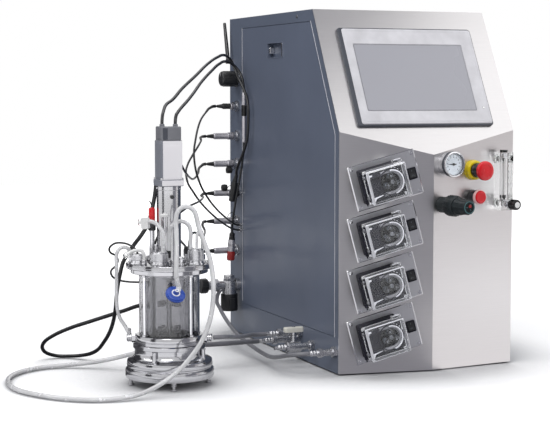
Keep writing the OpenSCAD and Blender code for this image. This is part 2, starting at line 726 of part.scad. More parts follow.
module pump_rotor(i) {
    back = housing_front - chamber_depth + 0.6;
    front = bed_front;
    flange = roller_orbit + roller_d / 2 + 0.7;
    color([0.45, 0.46, 0.48]) placed() on_pump(i) translate([rotor_x, 0, 0]) {
        disc(flange, back, back + 2);
        disc(roller_orbit - roller_d / 2 - 0.5, back + 2, front - 2);
        disc(flange, front - 2, front);
        disc(3, front, front + 2);
        disc(rotor_shaft_d / 2, -front_normal_t - 12, back);
        for (a = [90, 210, 330]) rotate([0, 0, a]) translate([roller_orbit, 0, 0]) {
            disc(roller_d / 2, back + 2, front - 2);
            disc(2, front, front + 1);
        }
    }
}
module pump_cover(i) {
    tab_w = 22;
    color([0.85, 0.88, 0.9, 0.35]) placed() on_pump(i) {
        difference() {
            translate([housing_x, 0, 0]) block(housing_w, housing_h, 4, cover_back, cover_front);
            translate([housing_x, 0, 0])
                block(housing_w - 2 * cover_wall, housing_h - 2 * cover_wall, 2, cover_back - 1,
                    cover_front - cover_wall);
            for (y = [-1, 1])
                translate([housing_left - 1, y * pump_tube_r - pump_tube_d / 2 - 1, cover_back - 1])
                    cube([cover_wall + 2, pump_tube_d + 2, pump_tube_d + 2.5]);
        }
        translate([housing_right - tab_w - 4, housing_h / 2 - tiny, cover_back + 8]) cube([tab_w, 8, 8]);
        for (s = [-1, 1]) translate([hinge_x, s > 0 ? knuckle_y0 : -knuckle_y1, housing_front]) difference() {
            union() {
                rotate([-90, 0, 0]) cylinder(r = knuckle_r, h = knuckle_y1 - knuckle_y0);
                translate([0, 0, seat_gap])
                    cube([hinge_gap + tiny, knuckle_y1 - knuckle_y0, knuckle_r - seat_gap]);
            }
            translate([0, -1, 0]) rotate([-90, 0, 0]) cylinder(d = pin_d + 2 * running, h = 20);
        }
    }
}
module pump_switch(i) {
    edge = rocker_h / 2 - 0.4;
    high = 6;
    pivot_out = 0.9;
    color([0.1, 0.1, 0.11]) placed() on_pump(i) translate([switch_x, switch_y, frame_front - pivot_deep]) {
        rotate([-rocker_tilt, 0, 0]) translate([-rocker_w / 2, 0, 0]) intersection() {
            rotate([90, 0, 90]) linear_extrude(rocker_w) polygon([[-edge, -4], [edge, -4], [edge, high],
                [0, high - edge * tan(rocker_tilt)], [-edge, high]]);
            rotate([0, 90, 0]) cylinder(r = rocker_h / 2, h = rocker_w);
        }
        translate([-rocker_w / 2 - pivot_out, 0, 0]) rotate([0, 90, 0])
            cylinder(d = pivot_d, h = rocker_w + 2 * pivot_out);
    }
}

// Instruments on the right wing
module gauge_case() {
    color([0.75, 0.76, 0.78]) placed() on_right_wing(gauge_u, gauge_z) difference() {
        union() {
            disc(gauge_d / 2, 0, gauge_depth - 4);
            disc(gauge_d / 2 + 1, gauge_depth - 4, gauge_depth);
            disc(6.6, -14, 0);
            hex(12, -24, -14);
        }
        disc(gauge_d / 2 - 2, gauge_depth - 5, gauge_depth + 1);
        disc(0.75 + running, gauge_depth - 9, gauge_depth);
    }
}
module gauge_needle() {
    color([0.05, 0.05, 0.05]) placed() on_right_wing(gauge_u, gauge_z) {
        disc(0.75, gauge_depth - 8, gauge_depth - 4);
        disc(2.4, gauge_depth - 4.4, gauge_depth - 3);
        translate([-17, -0.6, gauge_depth - 4.2]) cube([24, 1.2, 0.8]);
    }
}
module stop_body() {
    color([0.92, 0.82, 0.1]) placed() on_right_wing(stop_u, stop_z) difference() {
        union() {
            disc(21, 0, 3);
            disc(20, 3, 12);
            disc(18.5, 12, 14);
            disc(15, 14, 33);
            disc(11, -26, 0);
            ring(14, 11, -8, -front_normal_t);
        }
        disc(7 + running, 10, 40);
    }
}
module stop_button() {
    r = stop_d / 2;
    color([0.85, 0.08, 0.08]) placed() on_right_wing(stop_u, stop_z) {
        disc(7, 14.5, 39);
        disc(r - 2, 38.5, 40);
        disc(r, 40, 47);
        translate([0, 0, 47]) cylinder(r1 = r, r2 = r - 3, h = 2);
        disc(r - 3, 49, 50);
    }
}
module push_button_body() {
    r = button_d / 2;
    color([0.15, 0.16, 0.18]) placed() on_right_wing(button_u, button_z) difference() {
        union() {
            disc(r + 2, 0, 24);
            disc(r + 3.5, 24, 28);
            disc(11, -26, 0);
            ring(14, 11, -8, -front_normal_t);
        }
        disc(r + running, 20, 30);
    }
}
module push_button_cap() {
    color([0.88, 0.1, 0.1]) placed() on_right_wing(button_u, button_z) disc(button_d / 2, 25, 31);
}
module regulator_body() {
    r = regulator_d / 2;
    color([0.07, 0.08, 0.09]) placed() on_right_wing(regulator_u, regulator_z) difference() {
        union() {
            disc(r - 5, 0, 26);
            disc(r - 2, 26, 30);
            disc(r, 30, 50);
            translate([0, 0, 50]) cylinder(r1 = r, r2 = r - 4, h = 6);
            disc(9.7, -22, 0);
            ring(14, 9.7, -7, -front_normal_t);
        }
        disc(5 + running, 36, 60);
    }
}
module regulator_knob() {
    r = regulator_d / 2 - 4;
    color([0.05, 0.06, 0.07]) placed() on_right_wing(regulator_u, regulator_z) {
        disc(5, 38, 60);
        disc(r - 0.5, 57, 64);
        translate([0, 0, 64]) cylinder(r1 = r - 0.5, r2 = r - 3, h = 12);
        disc(r - 3, 76, regulator_l - 1);
        disc(r - 4, regulator_l - 1, regulator_l);
    }
}
module at_flowmeter() {
    placed() on_right_wing(flow_u, flow_low) children();
}
module flowmeter_body() {
    low = 22;
    high = flowmeter_h - 12;
    mid = flow_gap + flow_depth / 2;
    front = flow_gap + flow_depth;
    knob = flow_knob_z - flow_low;
    color([0.85, 0.9, 0.92, 0.4]) at_flowmeter() {
        difference() {
            union() {
                translate([0, flowmeter_h / 2, 0]) block(flowmeter_w, flowmeter_h, 2, flow_gap, front);
                translate([0, knob, 0]) disc(7, front, front + 4);
            }
            translate([0, low, mid]) rotate([-90, 0, 0]) cylinder(r = 5, h = high - low);
            translate([0, knob, 0]) disc(4 + running, front - 10, front + 5);
        }
        for (y = [14, flowmeter_h - 14]) translate([0, y, 0]) {
            disc(6, -14, flow_gap);
            ring(9, 6, 0, flow_gap - 1);
            ring(9, 6, -7, -front_normal_t);
        }
        translate([0, flowmeter_h, mid]) rotate([-90, 0, 0]) cylinder(r = 8, h = 5);
    }
}
module flowmeter_float() {
    mid = flow_gap + flow_depth / 2;
    color([0.1, 0.1, 0.12]) at_flowmeter() translate([0, 22, mid]) rotate([-90, 0, 0]) {
        disc(2.5, 0.02, 3);
        disc(5 - running, 3, 9);
    }
}
module flowmeter_knob() {
    front = flow_gap + flow_depth;
    color([0.12, 0.12, 0.13]) at_flowmeter() translate([0, flow_knob_z - flow_low, 0]) {
        disc(4, front - 9, front + 15);
        disc(flow_knob_d / 2 - 1, front + 15, front + 16);
        disc(flow_knob_d / 2, front + 16, front + 34);
        disc(flow_knob_d / 2 - 1, front + 34, front + 35);
    }
}

// Side of the cabinet
module chassis_sockets() {
    placed() color([0.78, 0.78, 0.8]) {
        for (z = SOCKET_Z) on_side(socket_y, z) {
            hex(23, 0, 6);
            disc(socket_d / 2, 6, socket_l);
            disc(8, -20, 0);
            ring(12, 8, -5, -shell_t);
        }
        on_side(antenna_y, antenna_z) {
            hex(9, 0, 4);
            disc(3, 4, -antenna_x + 5);
        }
        on_side(socket_y, switch_z) difference() {
            disc(20, 0, 5);
            disc(4 + running, 1, 6);
        }
        on_side(wall_plug_y, wall_plug_z) disc(4.5, 0, wall_socket_l);
        for (z = GLAND_Z) on_side(gland_y, z) disc(4.5, 0, 6);
        translate([mains_x, cabinet_d, mains_z]) rotate([-90, 0, 0]) difference() {
            block(50, 29, 3, 0, 6);
            block(24, 17, 2, 1, 7);
        }
    }
}
module cable_plugs() {
    placed() color([0.7, 0.7, 0.72]) {
        for (i = [0:5]) on_side(socket_y, SOCKET_Z[i]) {
            end = i == 0 ? short_plug_end : long_plug_end;
            boot = i == 0 ? 32 : 16;
            disc(plug_d / 2, socket_l, end);
            translate([0, 0, end]) cylinder(r1 = i == 0 ? 6.5 : 5, r2 = 3.2, h = boot);
        }
        rod_between([-wall_socket_l, wall_plug_y, wall_plug_z], elbow_mid, 14);
        rod_between(elbow_low, elbow_high, 15);
        rod_between(elbow_high, elbow_top, 10);
        translate([-10, 512, 530]) disc(5, 0, 42);
        translate([-10, 512, 522]) disc(6, 0, 8);
        translate([-10, 512, 456]) disc(5, 0, 66);
        at_vessel() difference() {
            for (z = CLIP_Z) rotate([0, 0, view_angle + 135]) translate([rod_r, 0, 0])
                ring(9, rod_d / 2 + running, z - 8, z + 8);
            disc(glass_r + seat_gap, CLIP_Z[0] - 10, CLIP_Z[1] + 10);
        }
        rod_between(along(hang_top, hang_end, 0), along(hang_top, hang_end, 0.18), 13);
        rod_between(along(hang_top, hang_end, 0.18), along(hang_top, hang_end, 0.55), 16);
        rod_between(along(hang_top, hang_end, 0.55), along(hang_top, hang_end, 1), 18);
    }
}
module antenna() {
    placed() color([0.07, 0.07, 0.08]) {
        on_side(antenna_y, antenna_z) ring(5.5, 3 + running, -antenna_x - 8, -antenna_x + 3);
        translate([antenna_x + 2, antenna_y, antenna_z]) rotate([-antenna_lean, 0, 0])
            translate([0, 0, 4.5]) {
                disc(4.5, 0, 28);
                translate([0, 0, 28]) cylinder(r1 = 4.5, r2 = 3.6, h = antenna_l - 30);
                disc(3.2, antenna_l - 2, antenna_l);
            }
    }
}
module main_switch_knob() {
    placed() color([0.06, 0.06, 0.07]) on_side(socket_y, switch_z) {
        disc(4, 2, 6);
        disc(switch_d / 2, 5 + seat_gap, 42);
        disc(switch_d / 2 - 1.5, 42, 44);
    }
}
module supply_valve() {
    placed() color([0.5, 0.5, 0.53]) {
        on_side(valve_y, 118) {
            disc(15, 0, 10);
            disc(10, 10, 80);
            hex(26, 52, 62);
            disc(17, 80, 97);
        }
        translate([-24, valve_y, 97]) disc(17, 0, 30);
        translate([-24, valve_y, 127]) disc(13, 0, 14);
        translate([-24, valve_y, 57]) disc(20, 0, 40);
        rod_between([-40, valve_y, 112], [-48, valve_y, 104], 9);
    }
}
module water_fitting(l) {
    hex(water_hex, 0, 9);
    disc(water_d / 2, 9, l - 34);
    hex(17, l - 34, l - 25);
    disc(5.5, l - 25, l - 8);
    disc(4.5, l - 8, l);
    disc(6, -18, 0);
    ring(9.5, 6, -6, -shell_t);
}
module water_fittings() {
    placed() color([0.75, 0.75, 0.76]) {
        for (p = WATER_PORTS) on_side(p[0], p[1]) water_fitting(p[2]);
        difference() {
            translate([lever_x, WATER_PORTS[2][0], WATER_PORTS[2][1]]) {
                rotate([0, 90, 0]) translate([0, 0, -14]) cylinder(r = 12, h = 28);
                disc(5.5, 0, lever_low - WATER_PORTS[2][1] - seat_gap);
            }
            translate([lever_x, WATER_PORTS[2][0], lever_low - 12]) cylinder(r = 3 + running, h = 20);
        }
    }
}
module water_valve_handle() {
    placed() color([0.86, 0.85, 0.8]) translate([lever_x, WATER_PORTS[2][0], 0]) {
        disc(3, lever_low - 11, lever_low);
        block(48, 16, 7, lever_low, lever_low + 9);
        block(30, 10, 4, lever_low + 9, lever_low + 11);
    }
}

// Vessel
module vessel_base() {
    r1 = base_r;
    r2 = base_r - 3;
    n = neck_r;
    z0 = vessel_foot_h;
    bore = n - 15;
    flange_low = flange_top - flange_t;
    placed() color([0.8, 0.8, 0.82]) at_vessel() rotate_extrude()
        polygon([
            [bore, z0], [r1 - 1, z0], [r1, z0 + 1], [r1, z0 + 17], [r1 - 1, z0 + 18], [r2 - 1, z0 + 19.5],
            [r2 - 1, z0 + 21], [r2, z0 + 22], [r2, z0 + 33], [r2 - 1, z0 + 35], [n + 8, z0 + 37],
            [n + 2.5, z0 + 41], [n, z0 + 46], [n, flange_low], [flange_r, flange_low], [flange_r, flange_top],
            [0, flange_top], [0, flange_low], [bore, flange_low]
        ]);
}
module vessel_feet() {
    placed() color([0.5, 0.5, 0.52]) at_vessel() for (a = [0:90:270])
        rotate([0, 0, a - 12]) translate([neck_r + 9, 0, 0]) {
            disc(6, 0, 4);
            disc(4.5, 4, vessel_foot_h);
        }
}
module glass_vessel() {
    ro = glass_r;
    ri = inner_r;
    z0 = flange_top;
    z1 = head_bottom;
    placed() color([0.75, 0.8, 0.82, 0.35]) at_vessel() difference() {
        ring(ro, ri, z0, z1);
        ring(ro - glass_t, ri + glass_t, z0 + 5, z1 - 6);
        for (a = [0, 180]) at_coupling(a) disc(coupling_bore / 2, ro - glass_t - 2, ro + 2);
    }
}
module jacket_collar() {
    placed() color([0.75, 0.75, 0.77]) at_vessel() {
        difference() {
            ring(collar_r, glass_r + seat_gap, flange_top, flange_top + collar_h);
            for (a = [0, 180]) at_coupling(a) disc(coupling_bore / 2, glass_r - 5, collar_r + 5);
        }
        for (a = [0, 180]) at_coupling(a) difference() {
            union() {
                hex(17, collar_r - 1, collar_r + 7);
                disc(8, collar_r + 7, coupling_r1);
            }
            disc(coupling_bore / 2, glass_r, collar_r + 5);
        }
        rotate([0, 0, view_angle + 180]) translate([coupling_r1 - 4.5, 0, rail_z + 7]) disc(3, 0, 12);
    }
}
module at_coupling(a) {
    rotate([0, 0, view_angle + a]) translate([0, 0, rail_z]) rotate([0, 90, 0]) children();
}
module tie_rods() {
    placed() color([0.85, 0.85, 0.86]) at_vessel() for (a = [45:90:315]) rotate([0, 0, view_angle + a])
        translate([rod_r, 0, 0]) disc(rod_d / 2, flange_top + collar_h, head_bottom);
}
module port_holes() {
    for (p = PROBES) rotate([0, 0, view_angle]) translate([p[0], -p[1], 0])
        disc(p[2] / 2 + running, 100, 400);
}
module head_plate() {
    placed() color([0.78, 0.78, 0.8]) at_vessel() difference() {
        union() {
            disc(head_r - 8.5, head_bottom, head_mid);
            disc(head_r - 0.8, head_mid, head_mid + 0.8);
            disc(head_r, head_mid + 0.8, head_top - 0.8);
            disc(head_r - 0.8, head_top - 0.8, head_top);
            disc(14, head_bottom - 14, head_bottom);
        }
        disc(shaft_d / 2 + running, 0, 400);
        port_holes();
    }
}
module head_fittings() {
    placed() color([0.72, 0.72, 0.73]) for (p = PORTS) at_head(p[0], p[1]) {
        disc(p[2] / 2 + 1, head_top, head_top + 4);
        disc(p[2] / 2 - 1.5, head_top + 4, head_top + 7);
        disc(p[2] / 2, head_top + 7, head_top + p[3]);
    }
    placed() color([0.65, 0.65, 0.68]) for (p = PROBES) at_head(p[0], p[1]) {
        disc(p[2] / 2, head_bottom - p[3], head_top + p[4]);
        disc(p[2] / 2 + 2.5, head_top, head_top + 9);
        disc(p[2] / 2 + 1, head_top + p[4], head_top + p[4] + p[2] * 2.5);
    }
}
module motor_column() {
    placed() color([0.75, 0.75, 0.77]) at_vessel() ring(column_d / 2, column_d / 2 - 4, head_top, column_top);
}
module stirrer_motor() {
    z1 = column_top + motor_flange_t;
    z2 = z1 + motor_body_h;
    placed() color([0.5, 0.52, 0.56]) at_vessel() difference() {
        union() {
            block(motor_w + 5, motor_w + 5, 3, column_top, z1);
            block(motor_w, motor_w, 2, z1, z2);
            block(motor_w - 3, motor_w - 3, 2, z2, motor_top);
            for (p = MOTOR_OUTLETS) translate([p[0], p[1], 0]) disc(5, motor_top, motor_top + outlet_h);
            translate([6, 0, column_top + 66]) rotate([-90, 0, 0])
                disc(5, motor_w / 2 - 1, motor_w / 2 + outlet_h);
        }
        disc(shaft_d / 2 + running, column_top - 1, shaft_top + 1);
    }
}
module agitator() {
    placed() color([0.7, 0.7, 0.72]) at_vessel() {
        disc(shaft_d / 2, shaft_low, shaft_top);
        disc(9, column_top - 60, column_top - 34);
        disc(11, column_top - 48, column_top - 46);
        for (z = [shaft_low + 12, shaft_low + 62]) {
            disc(shaft_d / 2 + 4, z - 5, z + 5);
            disc(impeller_r - 7, z - 1, z + 1);
            for (a = [0:60:300]) rotate([0, 0, a]) translate([impeller_r - 12, -0.8, z - 6])
                cube([12, 1.6, 12]);
        }
    }
}
module baffle_cage() {
    r = inner_r - 1.2;
    placed() color([0.7, 0.7, 0.72]) at_vessel() {
        ring(r, r - 3, head_bottom - 6, head_bottom);
        for (a = [80, 200, 320]) rotate([0, 0, a]) translate([r - 11, -0.8, shaft_low + 1])
            cube([10.5, 1.6, head_bottom - 6 - shaft_low]);
        ring(r, r - 3, shaft_low, shaft_low + 4);
    }
}
module tube_filter() {
    placed() color([0.15, 0.25, 0.7]) {
        translate(filter_at) rotate([0, 0, view_angle]) {
            disc(5, -6, 4);
            rotate([110, 0, 0]) {
                disc(4, -18, 0);
                disc(19, 5, 9);
                disc(17, 9, 12);
                disc(17, 2, 5);
                disc(4, 0, 24);
            }
        }
        rod_between([-393, 31, 324.5], [-404, 42, 323], 10);
    }
}

// Cables and tubes
module black_cables() {
    placed() color([0.06, 0.06, 0.07]) {
        tube(ROUTE_MOTOR_POWER, 6.5);
        tube(ROUTE_MOTOR_SIGNAL, 6.5);
        tube(ROUTE_MOTOR_TAIL, 5);
        tube(ROUTE_SENSOR_1, 4.5);
        tube(ROUTE_SENSOR_2, 4.5);
        tube(ROUTE_SENSOR_3, 4.5);
        tube(ROUTE_SENSOR_4, 4.5);
        tube(ROUTE_SENSOR_5, 4.5);
        tube(ROUTE_SENSOR_6, 4.5);
        tube(ROUTE_THIN_LOOP, 4);
        tube(ROUTE_HEATER, 8);
    }
}
module silicone_tubes() {
    placed() color([0.9, 0.9, 0.9]) {
        tube(ROUTE_AIR, 8);
        tube(ROUTE_FEED, 9);
        tube(ROUTE_INNER_ARCH, 8);
        tube(ROUTE_SMALL_ARCH, 6);
        tube(ROUTE_OVERFLOW, 7);
        tube(ROUTE_JACKET, 9);
        tube(ROUTE_SUPPLY, 9);
    }
}

cabinet_shell();
front_panel();
left_side_panel();
cabinet_feet();
side_latch_catch();
touch_panel_housing();
touch_screen();
control_unit();
power_supply();
circulation_pump();
pump_plates();
pump_screws();
pump_housings();
pump_switch_frames();
pump_motors();
pump_tubes();
for (i = PUMPS) pump_rotor(i);
for (i = PUMPS) pump_cover(i);
for (i = PUMPS) pump_switch(i);
gauge_case();
gauge_needle();
stop_body();
stop_button();
push_button_body();
push_button_cap();
regulator_body();
regulator_knob();
flowmeter_body();
flowmeter_float();
flowmeter_knob();
chassis_sockets();
cable_plugs();
antenna();
main_switch_knob();
supply_valve();
water_fittings();
water_valve_handle();
vessel_base();
vessel_feet();
glass_vessel();
jacket_collar();
tie_rods();
head_plate();
head_fittings();
motor_column();
stirrer_motor();
agitator();
baffle_cage();
tube_filter();
black_cables();
silicone_tubes();
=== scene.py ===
"""Looks of the bench bioreactor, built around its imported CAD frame.

Lengths are millimetres in the cabinet's own frame: the origin is its front left floor corner, X runs right,
Y back and Z up. TO_ROW turns them into metres in the row's frame.
"""
from math import atan2, cos, pi, radians, sin

import bpy
import bmesh
from mathutils import Matrix, Vector


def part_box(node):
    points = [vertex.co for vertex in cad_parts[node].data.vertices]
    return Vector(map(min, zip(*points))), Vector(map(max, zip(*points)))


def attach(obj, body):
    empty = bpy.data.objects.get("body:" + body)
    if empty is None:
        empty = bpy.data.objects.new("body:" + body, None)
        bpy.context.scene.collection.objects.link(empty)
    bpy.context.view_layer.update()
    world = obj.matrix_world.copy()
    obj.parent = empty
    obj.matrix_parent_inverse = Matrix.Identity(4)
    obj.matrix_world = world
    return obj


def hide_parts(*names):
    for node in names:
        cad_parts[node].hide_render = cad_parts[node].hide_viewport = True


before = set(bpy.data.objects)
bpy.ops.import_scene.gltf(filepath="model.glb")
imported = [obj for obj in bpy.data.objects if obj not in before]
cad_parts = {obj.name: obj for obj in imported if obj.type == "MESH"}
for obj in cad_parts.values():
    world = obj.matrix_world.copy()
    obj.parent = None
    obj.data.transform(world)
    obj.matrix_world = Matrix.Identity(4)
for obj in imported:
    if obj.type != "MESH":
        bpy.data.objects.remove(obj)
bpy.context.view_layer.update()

# ---------------------------------------------------------------- places taken from the frame
SHELL_LOW, SHELL_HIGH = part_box("cabinet_shell")
CABINET_D = 632
CABINET_W = round((SHELL_HIGH.x - SHELL_LOW.x) * 1000)
CABINET_H = round(SHELL_HIGH.z * 1000)
CORNER = Vector((SHELL_LOW.x, SHELL_HIGH.y - CABINET_D / 1000, 0))
TO_ROW = Matrix.Translation(CORNER) @ Matrix.Scale(0.001, 4)


def in_cabinet(point):
    """A point of the row's frame, in millimetres in the cabinet's frame."""
    return (point - CORNER) * 1000


KNEE_H, SLOPE_RUN = 494, 137  # where the sloping front starts, and how far back it leans
PROW = 26  # how far the front's middle stands out in front of its corners
STRIP_FRONT, STRIP_REAR, STRIP_LOW, STRIP_TOP = 22, 84, 76, 24  # the side's frame round its panel
WING_ANGLE = atan2(PROW, CABINET_W / 2)
SLOPE_ANGLE = atan2(CABINET_H - KNEE_H, SLOPE_RUN)
VESSEL_LOW, VESSEL_HIGH = (in_cabinet(corner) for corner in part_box("glass_vessel"))
VESSEL = Vector(((VESSEL_LOW.x + VESSEL_HIGH.x) / 2, (VESSEL_LOW.y + VESSEL_HIGH.y) / 2, 0))
GLASS_R = (VESSEL_HIGH.x - VESSEL_LOW.x) / 2
FLANGE_TOP = VESSEL_LOW.z
HEAD_TOP = in_cabinet(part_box("head_plate")[1]).z
COLUMN_TOP = in_cabinet(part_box("motor_column")[1]).z
VIEW_ANGLE = radians(-22)  # the direction that the camera looks in, which the vessel's fittings follow


# ---------------------------------------------------------------- local frames, as matrices in millimetres
def move(x, y, z):
    return Matrix.Translation((x, y, z))


def turn(degrees, axis):
    return Matrix.Rotation(radians(degrees), 4, axis)


def around(count, start=0):
    """Equal turns about Z."""
    return [turn(start + 360 / count * k, "Z") for k in range(count)]


def on_slope(x, t):
    """X right, Y up the slope, Z out of it; (x, t) is the place of its origin on the slope."""
    return move(0, 0, KNEE_H) @ Matrix.Rotation(SLOPE_ANGLE, 4, "X") @ move(x, t, 0)


def on_pump(i):
    """X along pump i's plate, Y up it, Z out of the left wing."""
    plate_u, lowest, pitch, tilt = 97.8, 83, 104.4, 15
    wing = Matrix.Rotation(-WING_ANGLE, 4, "Z") @ turn(90, "X")
    return wing @ move(plate_u, lowest + (3 - i) * pitch, 0) @ turn(tilt, "Z")


def on_right_wing(u, z):
    """X right along the wing from the ridge, Y up, Z out of it."""
    wing = move(CABINET_W / 2, -PROW, 0) @ Matrix.Rotation(WING_ANGLE, 4, "Z") @ turn(90, "X")
    return wing @ move(u, z, 0)


def on_side(y, z):
    """X up, Y back, Z out of the cabinet's left side."""
    return move(0, y, z) @ turn(-90, "Y")


def at_vessel(z=0):
    return move(VESSEL.x, VESSEL.y, z)


def at_head(sideways, forwards, z=0):
    """On the head plate: sideways and forwards as seen along the view angle."""
    return at_vessel(z) @ Matrix.Rotation(VIEW_ANGLE, 4, "Z") @ move(sideways, -forwards, 0)


def head_point(sideways, forwards, z):
    return at_head(sideways, forwards, z).translation


def round_vessel(angle, r, z=0):
    """At that angle and radius round the vessel, with X pointing outwards."""
    return at_vessel(z) @ Matrix.Rotation(VIEW_ANGLE, 4, "Z") @ turn(angle, "Z") @ move(r, 0, 0)


def along(a, b):
    """Z runs from point a to point b."""
    a, b = Vector(a), Vector(b)
    return Matrix.Translation(a) @ (b - a).to_track_quat("Z", "Y").to_matrix().to_4x4()


# ---------------------------------------------------------------- materials
def rgb(r, g, b):
    """A colour given as screen values from 0 to 255."""
    return tuple((v / 255 / 12.92) if v <= 10 else ((v / 255 + 0.055) / 1.055) ** 2.4 for v in (r, g, b))


def wire(tree, kind, inputs, out=0, **settings):
    """A new shader node, whose inputs take numbers or other nodes' outputs; gives one of its outputs."""
    node = tree.nodes.new("ShaderNode" + kind)
    for name, value in settings.items():
        setattr(node, name, value)
    for socket, value in inputs.items():
        if isinstance(value, bpy.types.NodeSocket):
            tree.links.new(value, node.inputs[socket])
        else:
            node.inputs[socket].default_value = value
    return node.outputs[out]


def span(value, from_min, from_max, to_min, to_max):
    """The inputs of a Map Range node."""
    return {"Value": value, "From Min": from_min, "From Max": from_max, "To Min": to_min, "To Max": to_max}


def node_material(name):
    material = bpy.data.materials.new(name)
    material.use_nodes = True
    return material, material.node_tree


class Finish:
    """A Principled material whose colour, roughness and relief vary over the surface."""

    def __init__(self, name, color, roughness=0.5, metallic=0.0, **sockets):
        self.material, self.tree = node_material(name)
        self.shader = self.tree.nodes["Principled BSDF"].inputs
        self.color = color
        self.shader["Base Color"].default_value = (*color, 1)
        self.shader["Roughness"].default_value = roughness
        self.shader["Metallic"].default_value = metallic
        for socket, value in sockets.items():
            self.shader[socket.replace("_", " ")].default_value = value
        self.place = wire(self.tree, "TexCoord", {}, "Object")

    def noise(self, scale, stretch, detail=3.0):
        place = wire(self.tree, "Mapping", {"Vector": self.place, "Scale": stretch})
        return wire(self.tree, "TexNoise", {"Vector": place, "Scale": scale, "Detail": detail})

    def shades(self, low, high, scale, stretch=(1, 1, 1)):
        """The colour runs from low to high times itself."""
        color = wire(self.tree, "ValToRGB", {"Fac": self.noise(scale, stretch)})
        for stop, k, place in zip(color.node.color_ramp.elements, (low, high), (0.3, 0.7)):
            stop.position = place
            stop.color = (*(min(1, v * k) for v in self.color), 1)
        self.tree.links.new(color, self.shader["Base Color"])
        return self

    def wear(self, low, high, scale, stretch=(1, 1, 1)):
        """The roughness runs from low to high."""
        spread = span(self.noise(scale, stretch), 0.3, 0.7, low, high)
        self.tree.links.new(wire(self.tree, "MapRange", spread), self.shader["Roughness"])
        return self

    def relief(self, scale, depth, strength, stretch=(1, 1, 1)):
        """Fine relief of that depth in millimetres."""
        height = self.noise(scale, stretch, 2.0)
        bump = wire(self.tree, "Bump", {"Strength": strength, "Distance": depth / 1000, "Height": height})
        self.tree.links.new(bump, self.shader["Normal"])
        return self


def painted(name, shade, roughness=0.36):
    """Powder coat: slight orange peel."""
    finish = Finish(name, rgb(*shade), roughness, Specular_IOR_Level=0.3)
    finish.shades(0.94, 1.06, 3.5).wear(roughness - 0.05, roughness + 0.06, 9)
    return finish.relief(900, 0.05, 0.25).material


def brushed(name, color, roughness, across, grain=1.0):
    """Brushed steel: fine streaks drawn out along the axis named by the small stretch in across."""
    finish = Finish(name, color, roughness, 1.0)
    finish.shades(1 - 0.04 * grain, 1 + 0.04 * grain, 150, across)
    finish.wear(roughness - 0.04 * grain, roughness + 0.05 * grain, 190, across)
    return finish.relief(420, 0.01, 0.15 * grain, across).material


def turned_steel(name, color, roughness):
    """Turned steel: fine rings round an upright axis."""
    return brushed(name, color, roughness, (0.2, 0.2, 6))


def moulded(name, shade, roughness, **sockets):
    """Moulded plastic or rubber: fine grain."""
    finish = Finish(name, rgb(*shade), roughness, **sockets)
    finish.shades(0.9, 1.12, 25).wear(max(0.05, roughness - 0.08), roughness + 0.08, 60)
    return finish.relief(1400, 0.03, 0.25).material


def clear(name, color, roughness, ior):
    """A clear plastic or glass with faint unevenness."""
    finish = Finish(name, color, roughness, IOR=ior, Transmission_Weight=1.0)
    return finish.shades(0.97, 1.0, 12).wear(roughness, roughness + 0.03, 30).relief(40, 0.02, 0.1).material


SIDE_PAINT = painted("side_paint", (98, 106, 123))
PANEL_PAINT = painted("side_panel_paint", (100, 108, 126), 0.34)
STAINLESS = brushed("brushed_stainless", (0.63, 0.615, 0.62), 0.3, (0.1, 0.1, 5), 0.45)
PLATE_STEEL = brushed("plate_stainless", (0.52, 0.52, 0.545), 0.42, (4, 4, 0.2), 0.6)
TURNED = turned_steel("turned_steel", (0.54, 0.54, 0.56), 0.16)
POLISHED = turned_steel("polished_steel", (0.72, 0.72, 0.74), 0.06)
SATIN_STEEL = brushed("satin_steel", (0.50, 0.50, 0.52), 0.28, (2, 2, 2))
ZINC = brushed("nickel_plate", (0.50, 0.50, 0.52), 0.25, (2, 4, 2))
CONNECTOR = brushed("satin_nickel", (0.44, 0.43, 0.46), 0.42, (2, 2, 2), 0.5)
VESSEL_STEEL = turned_steel("vessel_steel", (0.46, 0.46, 0.48), 0.13)
DARK_METAL = brushed("dark_metal", (0.16, 0.165, 0.18), 0.35, (2, 2, 3))
MOTOR_METAL = painted("motor_grey", (132, 135, 145), 0.42)
# Painted light: a near-white lit copy of the motor's grey, for its front face.
LIT_MOTOR_FRONT = painted("painted_lit_motor_front", (246, 244, 248), 0.45)
MOTOR_CAP = moulded("motor_cap", (119, 120, 126), 0.4)
BLACK = moulded("black_plastic", (24, 25, 28), 0.42)
MATT_BLACK = moulded("regulator_black", (34, 40, 43), 0.48, Specular_IOR_Level=0.25)
GLOSS_BLACK = moulded("gloss_black_plastic", (18, 19, 22), 0.2)
GREY_PLASTIC = moulded("grey_plastic", (206, 205, 210), 0.4)
# Painted shade: slate for the shaded sides of the touch panel and gauge, for the dial's inner wall, and for a
# strip on the motor cap.
PAINTED_SHADE_SLATE = moulded("painted_shade_slate", (62, 65, 74), 0.4)
PUMP_BLACK = moulded("pump_black", (36, 36, 44), 0.55, Specular_IOR_Level=0.12)
CREAM = moulded("cream_plastic", (226, 224, 214), 0.35)
WHITE = moulded("white_plastic", (236, 236, 236), 0.35)
RED = moulded("red_plastic", (214, 22, 34), 0.22)
DIAL = moulded("dial_enamel", (208, 213, 222), 0.4)
PINK_LENS = moulded("pale_red_ring", (240, 190, 190), 0.25)
DULL_RED = moulded("dull_red_rubber", (150, 38, 36), 0.45)
YELLOW = moulded("yellow_plastic", (232, 205, 14), 0.3)
BLUE = moulded("blue_plastic", (44, 84, 186), 0.3, Transmission_Weight=0.25)
TEAL = moulded("teal_ring", (64, 104, 108), 0.35)
SCREEN_EDGE = moulded("screen_edge", (150, 150, 157), 0.3)
